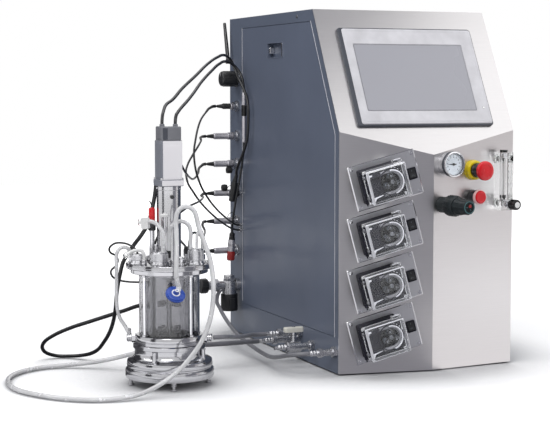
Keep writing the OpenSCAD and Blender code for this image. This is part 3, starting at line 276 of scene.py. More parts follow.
# Painted highlight on the pump covers' edges, the side panel's edge and the pump tubes; also the real pale
# colour of the tube clips.
PALE_CLIPS_AND_PAINTED_HIGHLIGHT = moulded("pale_clips_and_painted_highlight", (206, 206, 212), 0.2)
ROLLER = moulded("roller_plastic", (92, 96, 104), 0.35)
INK = moulded("black_ink", (22, 22, 24), 0.6)
SCREEN = Finish("screen_glass", rgb(162, 162, 170), 0.28).shades(0.985, 1.015, 2.5).wear(0.26, 0.31, 4).material
CABLE = moulded("cable_jacket", (22, 23, 26), 0.34)
RUBBER = moulded("black_rubber", (26, 26, 28), 0.6)
SILICONE = moulded("silicone_tube", (236, 236, 238), 0.22, Transmission_Weight=0.3, IOR=1.41,
                   Coat_Weight=0.3)
GREY_SILICONE = moulded("grey_tube", (122, 122, 128), 0.35)
CLEAR_PLASTIC = clear("clear_polycarbonate", (0.95, 0.96, 0.97), 0.03, 1.45)
CLEAR_ACRYLIC = clear("clear_acrylic", (0.97, 0.98, 0.98), 0.03, 1.2)
GLASS = clear("borosilicate_glass", (0.68, 0.68, 0.695), 0.01, 1.47)


# ---------------------------------------------------------------- mesh building
STEPS = 40  # sides of a round part


def circle(r, z, n=STEPS):
    return [Vector((r * cos(2 * pi * k / n), r * sin(2 * pi * k / n), z)) for k in range(n)]


def arc(r, z, start, stop, step):
    """Points on an arc about Z, between two angles in degrees."""
    return [(r * cos(radians(a)), r * sin(radians(a)), z) for a in range(start, stop + 1, step)]


def toothed(r, depth, teeth, z):
    """A circle whose edge has that many square teeth, cut that deep."""
    ring = []
    for k in range(teeth):
        for part, radius in ((0, r), (0.45, r), (0.5, r - depth), (0.95, r - depth)):
            a = 2 * pi * (k + part) / teeth
            ring.append(Vector((radius * cos(a), radius * sin(a), z)))
    return ring


def rounded(w, h, r, z, n=5):
    """A rectangle with round corners, about the origin."""
    ring = []
    for corner, (sx, sy) in enumerate(((1, 1), (-1, 1), (-1, -1), (1, -1))):
        for k in range(n + 1):
            a = pi / 2 * (corner + k / n)
            ring.append(Vector((sx * (w / 2 - r) + r * cos(a), sy * (h / 2 - r) + r * sin(a), z)))
    return ring


def nest(w, h, *steps):
    """Rectangles with round corners, one after another; a step is (how much smaller, corner radius, height)."""
    return [rounded(w - less, h - less, r, z) for less, r, z in steps]


def slab(w, h, r, low, high, n=5):
    return [rounded(w, h, r, z, n) for z in (low, high)]


def outline(points, *heights):
    return [[Vector((x, y, z)) for x, y in points] for z in heights]


def moved(place, rings):
    return [[place @ p for p in ring] for ring in rings]


class Form:
    """A mesh in the making, in millimetres in the cabinet's frame, with a finish number on each face."""

    def __init__(self):
        self.points, self.faces, self.marks = [], [], []

    def loft(self, rings, place=Matrix(), finish=0, capped=True, looped=False):
        """A skin over rings of equally many points."""
        n, base = len(rings[0]), len(self.points)
        for ring in rings:
            self.points += [place @ p for p in ring]
        pairs = [(i, i + 1) for i in range(len(rings) - 1)] + ([(len(rings) - 1, 0)] if looped else [])
        made = [[base + i * n + k, base + i * n + (k + 1) % n, base + j * n + (k + 1) % n, base + j * n + k]
                for i, j in pairs for k in range(n)]
        if capped and not looped:
            made.append([base + k for k in range(n)][::-1])
            made.append([base + (len(rings) - 1) * n + k for k in range(n)])
        self.faces += made
        self.marks += [finish] * len(made)
        return self

    def turned(self, profile, place=Matrix(), finish=0, n=STEPS):
        """A solid of revolution about Z; profile holds (radius, height) from one end to the other."""
        return self.loft([circle(max(r, 0.05), z, n) for r, z in profile], place, finish)

    def ring(self, profile, place=Matrix(), finish=0, n=STEPS):
        """A ring about Z whose section is the closed outline in profile."""
        return self.loft([circle(r, z, n) for r, z in profile], place, finish, looped=True)

    def bead(self, r, proud, z, height, lead, place=Matrix(), finish=0, n=STEPS):
        """A band round a turned part of radius r: it stands proud by that much, and slopes in over lead."""
        low, high = z + lead, z + height - lead
        return self.ring([(r, z), (r + proud, low), (r + proud, high), (r, z + height)], place, finish, n)

    def disc(self, r, z0, z1, place=Matrix(), finish=0, n=STEPS, edge=0.4):
        """A disc with chamfered edges."""
        e = min(edge, r / 3, abs(z1 - z0) / 3)
        return self.turned([(r - e, z0), (r, z0 + e), (r, z1 - e), (r - e, z1)], place, finish, n)

    def block(self, w, h, r, z0, z1, place=Matrix(), finish=0, edge=0.5):
        """A plate with round corners and chamfered edges, about the origin."""
        e = min(edge, r * 0.9, abs(z1 - z0) / 3)
        end = 2 * e, r - e * 0.9
        return self.loft(nest(w, h, (*end, z0), (0, r, z0 + e), (0, r, z1 - e), (*end, z1)), place, finish)

    def frame(self, w, h, r, wall, z0, z1, place=Matrix(), finish=0, edge=0.5):
        """A rectangular frame of that wall with chamfered front edges."""
        hole, hole_r = 2 * wall, max(r - wall, 0.6)
        rings = nest(w, h, (0, r, z0), (0, r, z1 - edge), (2 * edge, max(r - edge, 0.5), z1),
                     (hole - 2 * edge, hole_r + edge, z1), (hole, hole_r, z1 - edge), (hole, hole_r, z0))
        return self.loft(rings, place, finish, looped=True)

    def hexagon(self, across, z0, z1, place=Matrix(), finish=0, edge=0.6):
        """A nut or bolt head with chamfered corners."""
        r = across / 2 / cos(pi / 6)
        rings = [circle(r - edge, z0, 6), circle(r, z0 + edge, 6), circle(r, z1 - edge, 6),
                 circle(r - edge, z1, 6)]
        return self.loft(rings, place, finish)

    def knurled(self, r, z0, z1, place=Matrix(), finish=0, teeth=36, depth=0.6):
        """A grip with teeth all round and smooth chamfered ends."""
        e = min(1.2, (z1 - z0) / 4)
        rings = [toothed(r - e, 0.01, teeth, z0), toothed(r, depth, teeth, z0 + e),
                 toothed(r, depth, teeth, z1 - e), toothed(r - e, 0.01, teeth, z1)]
        return self.loft(rings, place, finish)

    def pipe(self, path, r, place=Matrix(), finish=0, n=12, r_end=None):
        """A round bar along a path, tapering to r_end."""
        line = [Vector(p) for p in path]
        side, rings = None, []
        for i, p in enumerate(line):
            ahead = (line[min(i + 1, len(line) - 1)] - line[max(i - 1, 0)]).normalized()
            if side is None:
                side = ahead.orthogonal()
            side = (side - ahead * side.dot(ahead)).normalized()
            up = ahead.cross(side)
            size = r if r_end is None else r + (r_end - r) * i / (len(line) - 1)
            rings.append([p + size * (cos(2 * pi * k / n) * side + sin(2 * pi * k / n) * up) for k in range(n)])
        return self.loft(rings, place, finish)

    def piece(self, name, finishes, slot, *replaces, body="root", sharp=32):
        """The finished object, riding on its body in place of the CAD nodes that it replaces."""
        mesh = bpy.data.meshes.new(name)
        mesh.from_pydata([TO_ROW @ p for p in self.points], [], self.faces)
        for finish in finishes:
            mesh.materials.append(finish)
        mesh.polygons.foreach_set("material_index", self.marks)
        net = bmesh.new()
        net.from_mesh(mesh)
        bmesh.ops.recalc_face_normals(net, faces=net.faces)
        net.to_mesh(mesh)
        net.free()
        mesh.shade_smooth()
        mesh.set_sharp_from_angle(angle=radians(sharp))
        piece = bpy.data.objects.new(name, mesh)
        bpy.context.scene.collection.objects.link(piece)
        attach(piece, body)
        if replaces:
            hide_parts(*replaces)
        return piece

    def moving_piece(self, name, finishes, slot, node):
        """A piece in place of a CAD node that moves: the node's body has the node's name."""
        return self.piece(name, finishes, slot, node, body=node)


# ---------------------------------------------------------------- camera, light and floor
def look_from_the_front_left():
    data = bpy.data.cameras.new("camera")
    data.sensor_width = 36
    data.lens = 98.18
    camera = bpy.data.objects.new("camera", data)
    camera.location = (-1.2277, -2.9959, 0.5772)
    camera.rotation_euler = (radians(85.21), 0, radians(-21.94))
    bpy.context.scene.collection.objects.link(camera)
    bpy.context.scene.camera = camera


def soft_box(name, where, target, width, height, watts, shows=True):
    data = bpy.data.lights.new(name, "AREA")
    data.shape = "RECTANGLE"
    data.size, data.size_y = width, height
    data.energy = watts
    lamp = bpy.data.objects.new(name, data)
    lamp.location = where
    lamp.rotation_euler = (Vector(target) - Vector(where)).to_track_quat("-Z", "Y").to_euler()
    lamp.visible_glossy = shows
    bpy.context.scene.collection.objects.link(lamp)


def plate(name, width, height, place, material):
    """A flat sheet of the studio, which isn't part of the object."""
    mesh = bpy.data.meshes.new(name)
    corners = [(x * width / 2, y * height / 2, 0) for x, y in ((-1, -1), (1, -1), (1, 1), (-1, 1))]
    mesh.from_pydata([place @ Vector(c) for c in corners], [], [(0, 1, 2, 3)])
    mesh.materials.append(material)
    made = bpy.data.objects.new(name, mesh)
    bpy.context.scene.collection.objects.link(made)
    return made


def card(name, where, target, width, height, shade):
    """A card that only shows in reflections, as a photographer's flag does."""
    material, tree = node_material(name)
    glow = wire(tree, "Emission", {"Color": (*shade, 1)})
    tree.links.new(glow, tree.nodes["Material Output"].inputs["Surface"])
    made = plate(name, width, height, along(where, target), material)
    for ray in ("camera", "diffuse", "shadow", "transmission", "volume_scatter"):
        setattr(made, "visible_" + ray, False)


def card_on_the_floor(name, x, y, width, height, shade):
    card(name, (x, y, 0.001), (x, y, 1), width, height, shade)


def straight_or_mirrored(tree, rays):
    """1 where the camera looks straight, in a mirror or through glass, and 0 for light that falls on things."""
    either = wire(tree, "Math", {0: rays["Is Camera Ray"], 1: rays["Is Glossy Ray"]}, operation="MAXIMUM")
    return wire(tree, "Math", {0: either, 1: rays["Is Transmission Ray"]}, operation="MAXIMUM")


def light_the_room():
    """A white backdrop for the eye, a dimmer room for the light, four soft boxes, and cards for the steel."""
    world = bpy.data.worlds.new("studio")
    bpy.context.scene.world = world
    world.use_nodes = True
    tree = world.node_tree
    room = tree.nodes["Background"]
    room.inputs["Color"].default_value = (0.97, 0.98, 1.0, 1)
    room.inputs["Strength"].default_value = 0.42
    backdrop = wire(tree, "Background", {"Color": (1, 1, 1, 1), "Strength": 1.0})
    rays = tree.nodes.new("ShaderNodeLightPath").outputs
    mix = wire(tree, "MixShader", {0: straight_or_mirrored(tree, rays), 1: room.outputs[0], 2: backdrop})
    tree.links.new(mix, tree.nodes["World Output"].inputs["Surface"])

    middle = (0, 0, 0.35)
    soft_box("key", (-1.6, -2.6, 2.6), middle, 1.8, 1.4, 48)
    soft_box("fill", (2.4, -2.2, 1.5), middle, 1.4, 1.8, 24, False)
    soft_box("top", (0.0, 0.2, 2.8), middle, 2.4, 2.0, 30)
    soft_box("left", (-2.3, 0.5, 2.0), middle, 1.0, 1.4, 15)

    grey, pale = (0.3, 0.3, 0.335), (1.15, 1.13, 1.14)
    card("dark_behind", (-1.2, 2.6, 0.7), (-0.1, 0, 0.4), 3.4, 3.0, (0.06, 0.06, 0.07))
    card("dark_left", (-2.4, -0.8, 0.7), (-0.33, -0.2, 0.3), 0.7, 2.6, (0.08, 0.08, 0.09))
    card("grey_front", (0.28, -0.95, 0.45), (0.2, -0.3, 0.45), 0.62, 1.0, (0.31, 0.31, 0.345))
    card_on_the_floor("grey_near_floor", 0.093, -0.34, 0.285, 0.16, grey)
    card_on_the_floor("grey_far_floor", 0.125, -0.68, 0.35, 0.52, grey)
    card_on_the_floor("pale_near_floor", 0.52, -0.34, 0.55, 0.16, pale)
    card_on_the_floor("pale_far_floor", 0.56, -0.66, 0.48, 0.48, pale)
    card_on_the_floor("dark_on_the_floor", -0.55, 0.75, 0.86, 1.7, (0.1, 0.1, 0.11))
    card("pale_right", (1.62, -1.6, 0.55), (0.3, -0.27, 0.4), 1.0, 1.3, (0.76, 0.725, 0.73))
    card("grey_above", (0.29, -0.64, 2.0), (0.2, -0.2, 0.62), 1.2, 1.0, (0.25, 0.25, 0.28))
    card("bright_above", (1.6, -1.5, 2.2), (0.2, -0.2, 0.62), 2.0, 1.1, (1.65, 1.65, 1.65))


def lay_the_floor():
    """A floor that glows white away from the object and keeps its soft shadow; its glow is dimmed towards the
    object as painted shade, and dimmed again close to things by ambient occlusion as a painted contact shadow.
    """
    material, tree = node_material("pale_floor")
    rays = tree.nodes.new("ShaderNodeLightPath").outputs
    bounce = wire(tree, "Mix", {"Factor": rays["Is Diffuse Ray"]}, "Result", data_type="RGBA")
    bounce.node.inputs["A"].default_value = (0.6, 0.6, 0.615, 1)
    bounce.node.inputs["B"].default_value = (0.34, 0.34, 0.35, 1)
    shader = tree.nodes["Principled BSDF"]
    shader.inputs["Roughness"].default_value = 0.75
    shader.inputs["Specular IOR Level"].default_value = 0.2
    tree.links.new(bounce, shader.inputs["Base Color"])
    reach = wire(tree, "VectorMath", {0: wire(tree, "TexCoord", {}, "Object")}, "Value", operation="LENGTH")
    # Painted shade: the glow is dimmer towards the object's middle.
    painted_shade_fade = wire(tree, "MapRange", span(reach, 0.6, 2.6, 0.52, 1.0), interpolation_type="SMOOTHSTEP")
    # Painted contact shadow: ambient occlusion dims the glow close to things.
    open_floor = wire(tree, "AmbientOcclusion", {"Distance": 0.24}, "AO", samples=8)
    painted_contact_shadow = wire(tree, "MapRange", span(open_floor, 0.63, 0.98, 0.0, 1.0))
    strength = wire(tree, "Math", {0: straight_or_mirrored(tree, rays), 1: painted_shade_fade}, operation="MULTIPLY")
    shaded = wire(tree, "Math", {0: strength, 1: painted_contact_shadow}, operation="MULTIPLY")
    glow = wire(tree, "Emission", {"Color": (1, 1, 1, 1), "Strength": shaded})
    both = wire(tree, "AddShader", {0: shader.outputs[0], 1: glow})
    tree.links.new(both, tree.nodes["Material Output"].inputs["Surface"])
    just_below = -0.0005
    plate("floor", 12, 12, Matrix.Translation((0, 0, just_below)), material)


# ---------------------------------------------------------------- cords
# The same routes as their CAD solids have, from one end of each cord to the other.
ROUTES = {
    "motor_power_cable": [
        (-354, 55, 510), (-353, 57, 521), (-350, 63, 530), (-346, 71, 535), (-328, 108, 549), (-305, 140, 558),
        (-265, 200, 580), (-210, 275, 607), (-140, 395, 635), (-85, 484, 652), (-54, 530, 658), (-39, 549, 656),
        (-26, 558, 648), (-19, 557, 635), (-17, 547, 620), (-17, 529, 604), (-15, 507, 585), (-12, 489, 561),
        (-12, 480, 536), (-12, 480, 500), (-13, 487, 462), (-17, 503, 430), (-21, 523, 403), (-20, 536, 389),
        (-18, 542, 377)],
    "motor_signal_cable": [
        (-330, 45, 510), (-329, 47, 521), (-325, 53, 530), (-320, 60, 534), (-303, 86, 544), (-284, 116, 553),
        (-250, 175, 569), (-200, 268, 593), (-135, 385, 619), (-85, 470, 637), (-57, 511, 643), (-39, 529, 641),
        (-24, 536, 633), (-13, 533, 619), (-9, 526, 603), (-9, 518, 586), (-10, 512, 568)],
    "motor_tail_cable": [
        (-10, 512, 460), (-10, 513, 445), (-12, 519, 410), (-16, 531, 360), (-21, 543, 310),
        (-24, 551, 272), (-24, 555, 252), (-24, 555, 240)],
    "sensor_cable_1": [
        (-46, 578, 540), (-60, 576, 540), (-76, 558, 537), (-104, 510, 527), (-140, 450, 505),
        (-165, 405, 470), (-175, 388, 440), (-173, 385, 408), (-158, 398, 372), (-130, 427, 338),
        (-95, 465, 308), (-58, 505, 284), (-30, 537, 269), (-12, 551, 262), (-3, 553, 262)],
    "sensor_cable_2": [
        (-72, 578, 470), (-84, 577, 470), (-98, 560, 469), (-118, 505, 462), (-142, 460, 449),
        (-167, 425, 431), (-188, 395, 412), (-199, 372, 396), (-198, 366, 379), (-180, 380, 355),
        (-150, 410, 326), (-110, 448, 296), (-70, 486, 272), (-40, 518, 258), (-20, 542, 252),
        (-10, 551, 250), (-3, 553, 250)],
    "sensor_cable_3": [
        (-72, 578, 405), (-84, 577, 405), (-98, 560, 402), (-138, 468, 390), (-190, 345, 386),
        (-240, 225, 396), (-278, 145, 414), (-303, 108, 436), (-322, 96, 450), (-332, 91, 455),
        (-337, 79, 457)],
    "sensor_cable_4": [
        (-72, 578, 336), (-84, 577, 336), (-97, 558, 335), (-127, 465, 336), (-182, 338, 336),
        (-240, 228, 336), (-276, 158, 334), (-300, 120, 329), (-318, 98, 321), (-327, 88, 310),
        (-328, 86, 300), (-328, 86, 290)],
    "sensor_cable_5": [
        (-72, 578, 270), (-84, 577, 270), (-96, 556, 269), (-125, 460, 260), (-172, 335, 260),
        (-215, 225, 271), (-248, 155, 284), (-272, 110, 291), (-286, 88, 285), (-291, 81, 273),
        (-291, 81, 260)],
    "sensor_cable_6": [
        (-72, 578, 200), (-84, 577, 200), (-98, 556, 198), (-140, 455, 196), (-190, 340, 212),
        (-235, 240, 237), (-275, 172, 266), (-305, 136, 287), (-330, 116, 294), (-346, 109, 288),
        (-352, 108, 276), (-352, 108, 264)],
    "thin_lead": [
        (-406, 48, 257), (-410, 50, 268), (-419, 62, 277), (-430, 80, 280), (-440, 98, 277),
        (-446, 112, 267), (-441, 122, 257), (-429, 127, 250), (-423, 132, 240), (-425, 139, 229),
        (-434, 145, 217), (-430, 149, 206), (-416, 147, 198), (-400, 138, 195), (-384, 125, 195),
        (-372, 115, 195)],
    "heater_cable": [
        (-362, 72, 391), (-363, 73, 378), (-367, 72, 358), (-374, 67, 335), (-384, 62, 313), (-395, 64, 295),
        (-405, 76, 277), (-413, 90, 259), (-421, 101, 240), (-425, 112, 213), (-425, 136, 172),
        (-420, 166, 133), (-415, 215, 90), (-415, 270, 54), (-419, 325, 25), (-433, 372, 10), (-457, 399, 5),
        (-484, 410, 6), (-507, 405, 15), (-519, 388, 30), (-518, 367, 46), (-504, 343, 62), (-480, 309, 80),
        (-447, 260, 100), (-416, 216, 118), (-397, 175, 132), (-383, 141, 144), (-370, 116, 151)],
    "air_tube": [
        (-396, 34, 324), (-388, 26, 325), (-378, 16, 320), (-370, 8, 307), (-367, 6, 290), (-368, 8, 276),
        (-368, 9, 262)],
    "feed_tube": [
        (-77, 212, 44), (-95, 212, 44), (-118, 207, 45), (-150, 193, 47), (-185, 182, 49), (-225, 178, 50),
        (-270, 181, 50), (-310, 190, 48), (-345, 202, 42), (-375, 218, 33), (-410, 240, 22), (-450, 268, 12),
        (-495, 290, 6), (-540, 290, 5), (-585, 266, 5), (-622, 220, 5), (-642, 150, 5), (-640, 75, 5),
        (-612, 10, 5), (-570, -42, 5), (-522, -72, 5), (-480, -78, 6), (-435, -74, 12), (-394, -69, 28),
        (-362, -70, 50), (-338, -73, 76), (-318, -75, 105), (-303, -73, 138), (-293, -66, 175),
        (-289, -56, 215), (-291, -44, 255), (-300, -30, 292), (-306, -20, 318), (-309, -17, 335),
        (-312, -15, 345), (-319, -14, 352), (-329, -13, 355), (-339, -13, 352), (-346, -13, 344),
        (-349, -14, 333), (-350, -19, 308), (-352, -27, 280), (-356, -37, 248), (-358, -42, 224),
        (-353, -40, 206)],
    "inner_arch_tube": [
        (-311, 10, 262), (-312, 10, 285), (-312, 9, 305), (-315, 8, 315), (-322, 8, 322), (-332, 9, 325),
        (-342, 11, 322), (-349, 14, 315), (-352, 17, 305), (-352, 20, 285), (-352, 21, 264)],
    "small_arch_tube": [
        (-303, -2, 262), (-303, -2, 277), (-303, -2, 290), (-302, 0, 297), (-298, 4, 303), (-293, 9, 305),
        (-288, 14, 303), (-285, 18, 297), (-284, 20, 290), (-284, 20, 275), (-284, 20, 260)],
    "overflow_tube": [
        (-414, 70, 252), (-414, 70, 259), (-416, 71, 265), (-421, 72, 270), (-428, 74, 272), (-434, 75, 270),
        (-439, 76, 265), (-441, 78, 258), (-441, 80, 236), (-440, 84, 205), (-439, 88, 175), (-437, 91, 148),
        (-431, 91, 129), (-423, 87, 115), (-417, 82, 102)],
    "jacket_tube": [
        (-72, 196, 61), (-90, 196, 61), (-112, 185, 63), (-140, 152, 68), (-170, 116, 73), (-200, 78, 80),
        (-219, 50, 86), (-232, 30, 90), (-246, 20, 92), (-262, 20, 92)],
    "supply_tube": [
        (-46, 576, 106), (-53, 573, 98), (-60, 563, 87), (-67, 520, 70), (-75, 450, 51), (-81, 365, 34),
        (-85, 280, 25), (-89, 200, 21), (-94, 135, 23), (-97, 85, 31), (-96, 47, 40), (-87, 24, 45),
        (-73, 15, 47), (-58, 14, 47)],
}


def smooth(route, steps=5):
    """Points on the smooth curve through the route's own points, which keeps arcs round."""
    points = [Vector(p) for p in route]
    last = len(points) - 1
    legs = [b - a for a, b in zip(points, points[1:])]
    headings = [(b.length / a.length * a + a.length / b.length * b).normalized()
                for a, b in zip(legs, legs[1:])]
    headings = [(2 * legs[0].normalized() - headings[0]).normalized(), *headings,
                (2 * legs[-1].normalized() - headings[-1]).normalized()]
    curve = []
    for i, leg in enumerate(legs):
        a, b = points[i], points[i + 1]
        m, n = leg.length * headings[i], leg.length * headings[i + 1]
        for k in range(steps):
            t = k / steps
            curve.append((2 * t ** 3 - 3 * t ** 2 + 1) * a + (t ** 3 - 2 * t ** 2 + t) * m
                         + (3 * t ** 2 - 2 * t ** 3) * b + (t ** 3 - t ** 2) * n)
    return curve + [points[last]]


def lay_cord(name, diameter, finish, length, far_end, stiffness, lay, *pieces, backwards=False, replaces=()):
    """A cord along its route, from where it leaves the object; backwards where the route ends there."""
    points = smooth(ROUTES[name][::-1] if backwards else ROUTES[name])
    curve = bpy.data.curves.new(name, "CURVE")
    curve.dimensions = "3D"
    curve.bevel_depth = diameter / 2000
    curve.bevel_resolution = 3
    curve.use_fill_caps = True
    spline = curve.splines.new("POLY")
    spline.points.add(len(points) - 1)
    for knot, point in zip(spline.points, points):
        knot.co = (*(TO_ROW @ point), 1)
    spline.use_smooth = True
    curve.materials.append(finish)
    cord = bpy.data.objects.new(name, curve)
    bpy.context.scene.collection.objects.link(cord)
    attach(cord, "root")
    if replaces:
        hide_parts(*replaces)


def lay_the_cords(on):
    """Every cord is seen end to end, so its length is the one that shows; on holds the pieces on the cords."""
    lay_cord("motor_power_cable", 6.5, CABLE, 0.956, "connector", "medium", "hanging", on["wall_plug"],
             replaces=["black_cables"])
    lay_cord("motor_signal_cable", 6.5, CABLE, 0.685, "connector", "medium", "hanging", on["inline_connector"])
    lay_cord("motor_tail_cable", 5, CABLE, 0.225, "plug", "medium", "hanging", on["hanging_plug"])
    for i, length in enumerate((0.59, 0.59, 0.595, 0.585, 0.575, 0.60), 1):
        lay_cord(f"sensor_cable_{i}", 4.5, CABLE, length, "connector", "limp", "hanging",
                 on[f"sensor_plug_{i}"], backwards=True)
    lay_cord("thin_lead", 4, CABLE, 0.25, "object", "limp", "loose")
    lay_cord("heater_cable", 8, CABLE, 1.00, "object", "medium", "loose", on["cable_clip_1"])
    lay_cord("air_tube", 8, SILICONE, 0.09, "object", "limp", "hanging", replaces=["silicone_tubes"])
    lay_cord("feed_tube", 9, SILICONE, 1.64, "fitting", "limp", "loose", on["disc_filter"],
             on["feed_tube_sleeve"])
    lay_cord("inner_arch_tube", 8, SILICONE, 0.146, "object", "limp", "hanging")
    lay_cord("small_arch_tube", 6, SILICONE, 0.10, "object", "limp", "hanging")
    lay_cord("overflow_tube", 7, SILICONE, 0.21, "object", "limp", "hanging")
    lay_cord("jacket_tube", 9, GREY_SILICONE, 0.275, "object", "limp", "hanging")
    lay_cord("supply_tube", 9, GREY_SILICONE, 0.61, "object", "limp", "loose")


# ---------------------------------------------------------------- plugs and clips on the cords
SOCKET_Y = 578
SOCKET_Z = (540, 470, 405, 336, 270, 200)


def sensor_plug(i):
    """A round connector on socket i: a short moulded one at the top, long metal ones below it."""
    form = Form()
    place = on_side(SOCKET_Y, SOCKET_Z[i])
    if i == 0:
        form.knurled(7.6, 14, 20, place, teeth=24, depth=0.5)
        form.turned([(5.8, 19.5), (6.6, 20.5), (6.7, 24), (6.2, 25), (6.2, 38), (5.2, 40), (3.2, 52)], place, 1)
        for z in (27, 30, 33, 36):
            form.bead(6, 0.8, z, 1.8, 0.4, place, 1)
    else:
        form.turned([(7.8, 14), (8.4, 14.6), (8.4, 26.4), (7.8, 27), (7.5, 28), (7.5, 56), (7.2, 60),
                     (5.6, 62)], place)
        for z in (16.5, 19.5, 22.5):
            form.bead(8.2, 0.4, z, 1.4, 0.3, place)
        form.turned([(5, 61), (5, 66), (4.4, 68), (4.6, 69), (3.9, 72), (4.1, 73), (3.0, 78)], place, 1)
        form.bead(7.4, 0.25, 47, 1.3, 0.3, place)
    form.pipe(smooth(ROUTES[f"sensor_cable_{i + 1}"])[4:16], 3.7, finish=1, n=14, r_end=2.5)
    replaced = [] if i else ["cable_plugs"]
    return form.piece(f"sensor_plug_{i + 1}", [CONNECTOR, RUBBER], "black_plastic", *replaced)


def dust_caps():
    """Caps that hang from the sockets on their straps, and one strap that has lost its cap."""
    form = Form()
    for i, up, out, mark in ((2, -15, 24, 1), (3, 13, 36, 1), (5, -17, 22, 2)):
        place = on_side(SOCKET_Y - 3, SOCKET_Z[i]) @ move(up, 0, out)
        form.turned([(2, -7), (7.2, -6), (7.6, -4), (7.6, 4), (7, 6), (3, 7), (1, 7.2)], place, mark)
        form.bead(7.4, 0.6, -1, 2, 0.4, place, mark)
    for i, top, out in ((2, -11, 16), (3, 15, 24), (4, 17, 22), (5, -12, 16)):
        side = 1 if top > 0 else -1
        strap = [(side * (9 + (abs(top) - 6) * sin(pi * k / 8)), 0, 7 + out * k / 8) for k in range(9)]
        form.pipe(strap, 0.8, on_side(SOCKET_Y - 3, SOCKET_Z[i]), 1, n=8)
    return form.piece("socket_dust_caps", [ZINC, RUBBER, DULL_RED], "black_plastic")


def wall_plug():
    """The motor's angled plug on the side wall: an elbow, a ribbed grip and the cable's boot."""
    form = Form()
    elbow_end, grip_end = (-25, 555, 318), (-20, 547, 364)
    grip = along(elbow_end, grip_end)
    form.pipe([(-8, 553, 336), (-14, 553, 336), (-22, 553, 336)], 7)
    form.pipe([(-20, 553, 336), (-22.5, 554, 330), elbow_end], 7.2)
    form.turned([(6.4, 0), (7.5, 1.5), (7.5, 44), (6.6, 46.5)], grip)
    for z in (8, 12, 16, 30, 34):
        form.bead(7.3, 0.5, z, 2, 0.5, grip)
    form.turned([(5.6, -2), (5.6, 4), (4.6, 6), (5, 7), (4.2, 10), (4.6, 11), (3.6, 17)],
                along(grip_end, (-18, 541, 380)))
    return form.piece("wall_plug", [BLACK], "black_plastic")


def inline_connector():
    """Two metal shells joined by a dark coupling ring."""
    form = Form()
    place = move(-10, 512, 0)
    form.turned([(3.6, 456), (5, 458), (5, 512), (4.6, 514), (4.6, 518)], place)
    form.knurled(6, 518, 543, place, 1, teeth=30, depth=0.5)
    form.turned([(4.6, 543), (5, 544), (5, 568), (3.8, 572)], place)
    for z in (474, 490, 556):
        form.bead(4.9, 0.4, z, 1.8, 0.4, place)
    return form.piece("inline_connector", [CONNECTOR, BLACK], "zinc_metal")


def hanging_plug():
    """The loose plug at the end of the motor's tail."""
    form = Form()
    place = along((-24, 555, 245), (-28, 555, 178))
    form.turned([(3, 0), (6.4, 3), (6.4, 12), (7.4, 13), (7.4, 20)], place)
    form.turned([(8, 18), (8.2, 19), (8.2, 45), (7.4, 46)], place, 1)
    for d in (4, 7, 10):
        form.bead(6.2, 0.6, d, 1.7, 0.4, place)
    form.knurled(8.9, 24, 34, place, 1, teeth=32, depth=0.5)
    form.turned([(7.8, 45), (9, 46.4), (9.2, 50), (9.2, 62), (8.4, 65.4), (6, 67), (2, 67.4)], place, 2)
    return form.piece("hanging_plug", [BLACK, CONNECTOR, DULL_RED], "black_plastic")


def cable_clip(i, z):
    """A plastic clip on the rear tie rod."""
    form = Form()
    form.ring([(3.1, -8), (8, -8), (8.6, -7), (8.6, 7), (8, 8), (3.1, 8)], round_vessel(135, ROD_R + 0.6, z),
              n=24)
    form.disc(2.2, 7, 10.5, round_vessel(135, ROD_R, z) @ turn(90, "Y"), 1, n=16)
    return form.piece(f"cable_clip_{i}", [BLACK, ZINC], "black_plastic")


def disc_filter():
    """A sterile disc filter with its clear hose barbs."""
    form = Form()
    place = move(-353, -40, 201) @ Matrix.Rotation(VIEW_ANGLE, 4, "Z")
    form.turned([(3.4, -6), (4.8, -5), (4.8, 3), (3.6, 4)], place, 1, n=20)
    facing = Vector((0.3, -0.62, 0.72)).to_track_quat("Z", "Y").to_matrix().to_4x4()
    face = place @ move(-6, -6, -11) @ facing
    form.pipe([(0, 0, -3), (-1, -2, -6), (-3, -4, -9)], 3.4, place, 2, n=16)
    form.turned([(3.2, -18), (3.8, -16), (3.2, -13), (3.9, -12), (3.3, -8), (3.3, -5), (8, -4.4), (15, -4),
                 (17, -3), (17, -1.8), (19, -1.6), (19.2, 0), (19, 1.6), (17, 1.8), (17, 3.4), (15.5, 4.4),
                 (8, 4.8), (4.5, 5.4), (4, 7), (4, 12), (3.2, 13)], face)
    for spin in around(16):
        form.loft([rounded(0.9, 7, 0.4, 4, 2), rounded(0.7, 6.6, 0.3, 5, 2)], face @ spin @ move(0, 11, 0))
    form.bead(6, 2.4, 4.6, 0.8, 0, face, 1)
    form.turned([(3.8, 12), (3.9, 13.1), (1.6, 13.1), (1.6, 8)], face, 1, n=20)
    form.turned([(3.3, -18.3), (3.9, -17), (3.9, -14), (3.3, -13)], face, 2, n=20)
    return form.piece("disc_filter", [BLUE, WHITE, CLEAR_ACRYLIC], "blue_plastic", "tube_filter")


def vent_stub():
    """The pinch clamp and the clear stub at the free side of the air tube."""
    form = Form()
    place = along((-393, 31, 324.5), (-404, 42, 323))
    form.turned([(4.2, -1), (5, 0), (5, 10), (4.4, 12), (3.4, 13), (3.4, 17)], place, n=24)
    form.bead(4.8, 0.8, 2, 2.5, 0.5, place)
    form.block(15, 22, 3, -5, 5, place @ move(0, -3, 4) @ turn(90, "Y"))
    form.block(9, 14, 2, -3, 3, place @ move(0, 0, 14) @ turn(90, "Y"), 1)
    return form.piece("vent_clamp", [WHITE, CLEAR_ACRYLIC], "silicone_white")


def feed_sleeve():
    """The grey sleeve over the feed tube between its barb and the vessel."""
    form = Form()
    run = smooth(ROUTES["feed_tube"])[4:40]
    form.pipe(run, 5.05, n=20)
    return form.piece("feed_tube_sleeve", [GREY_SILICONE], "grey_plastic")


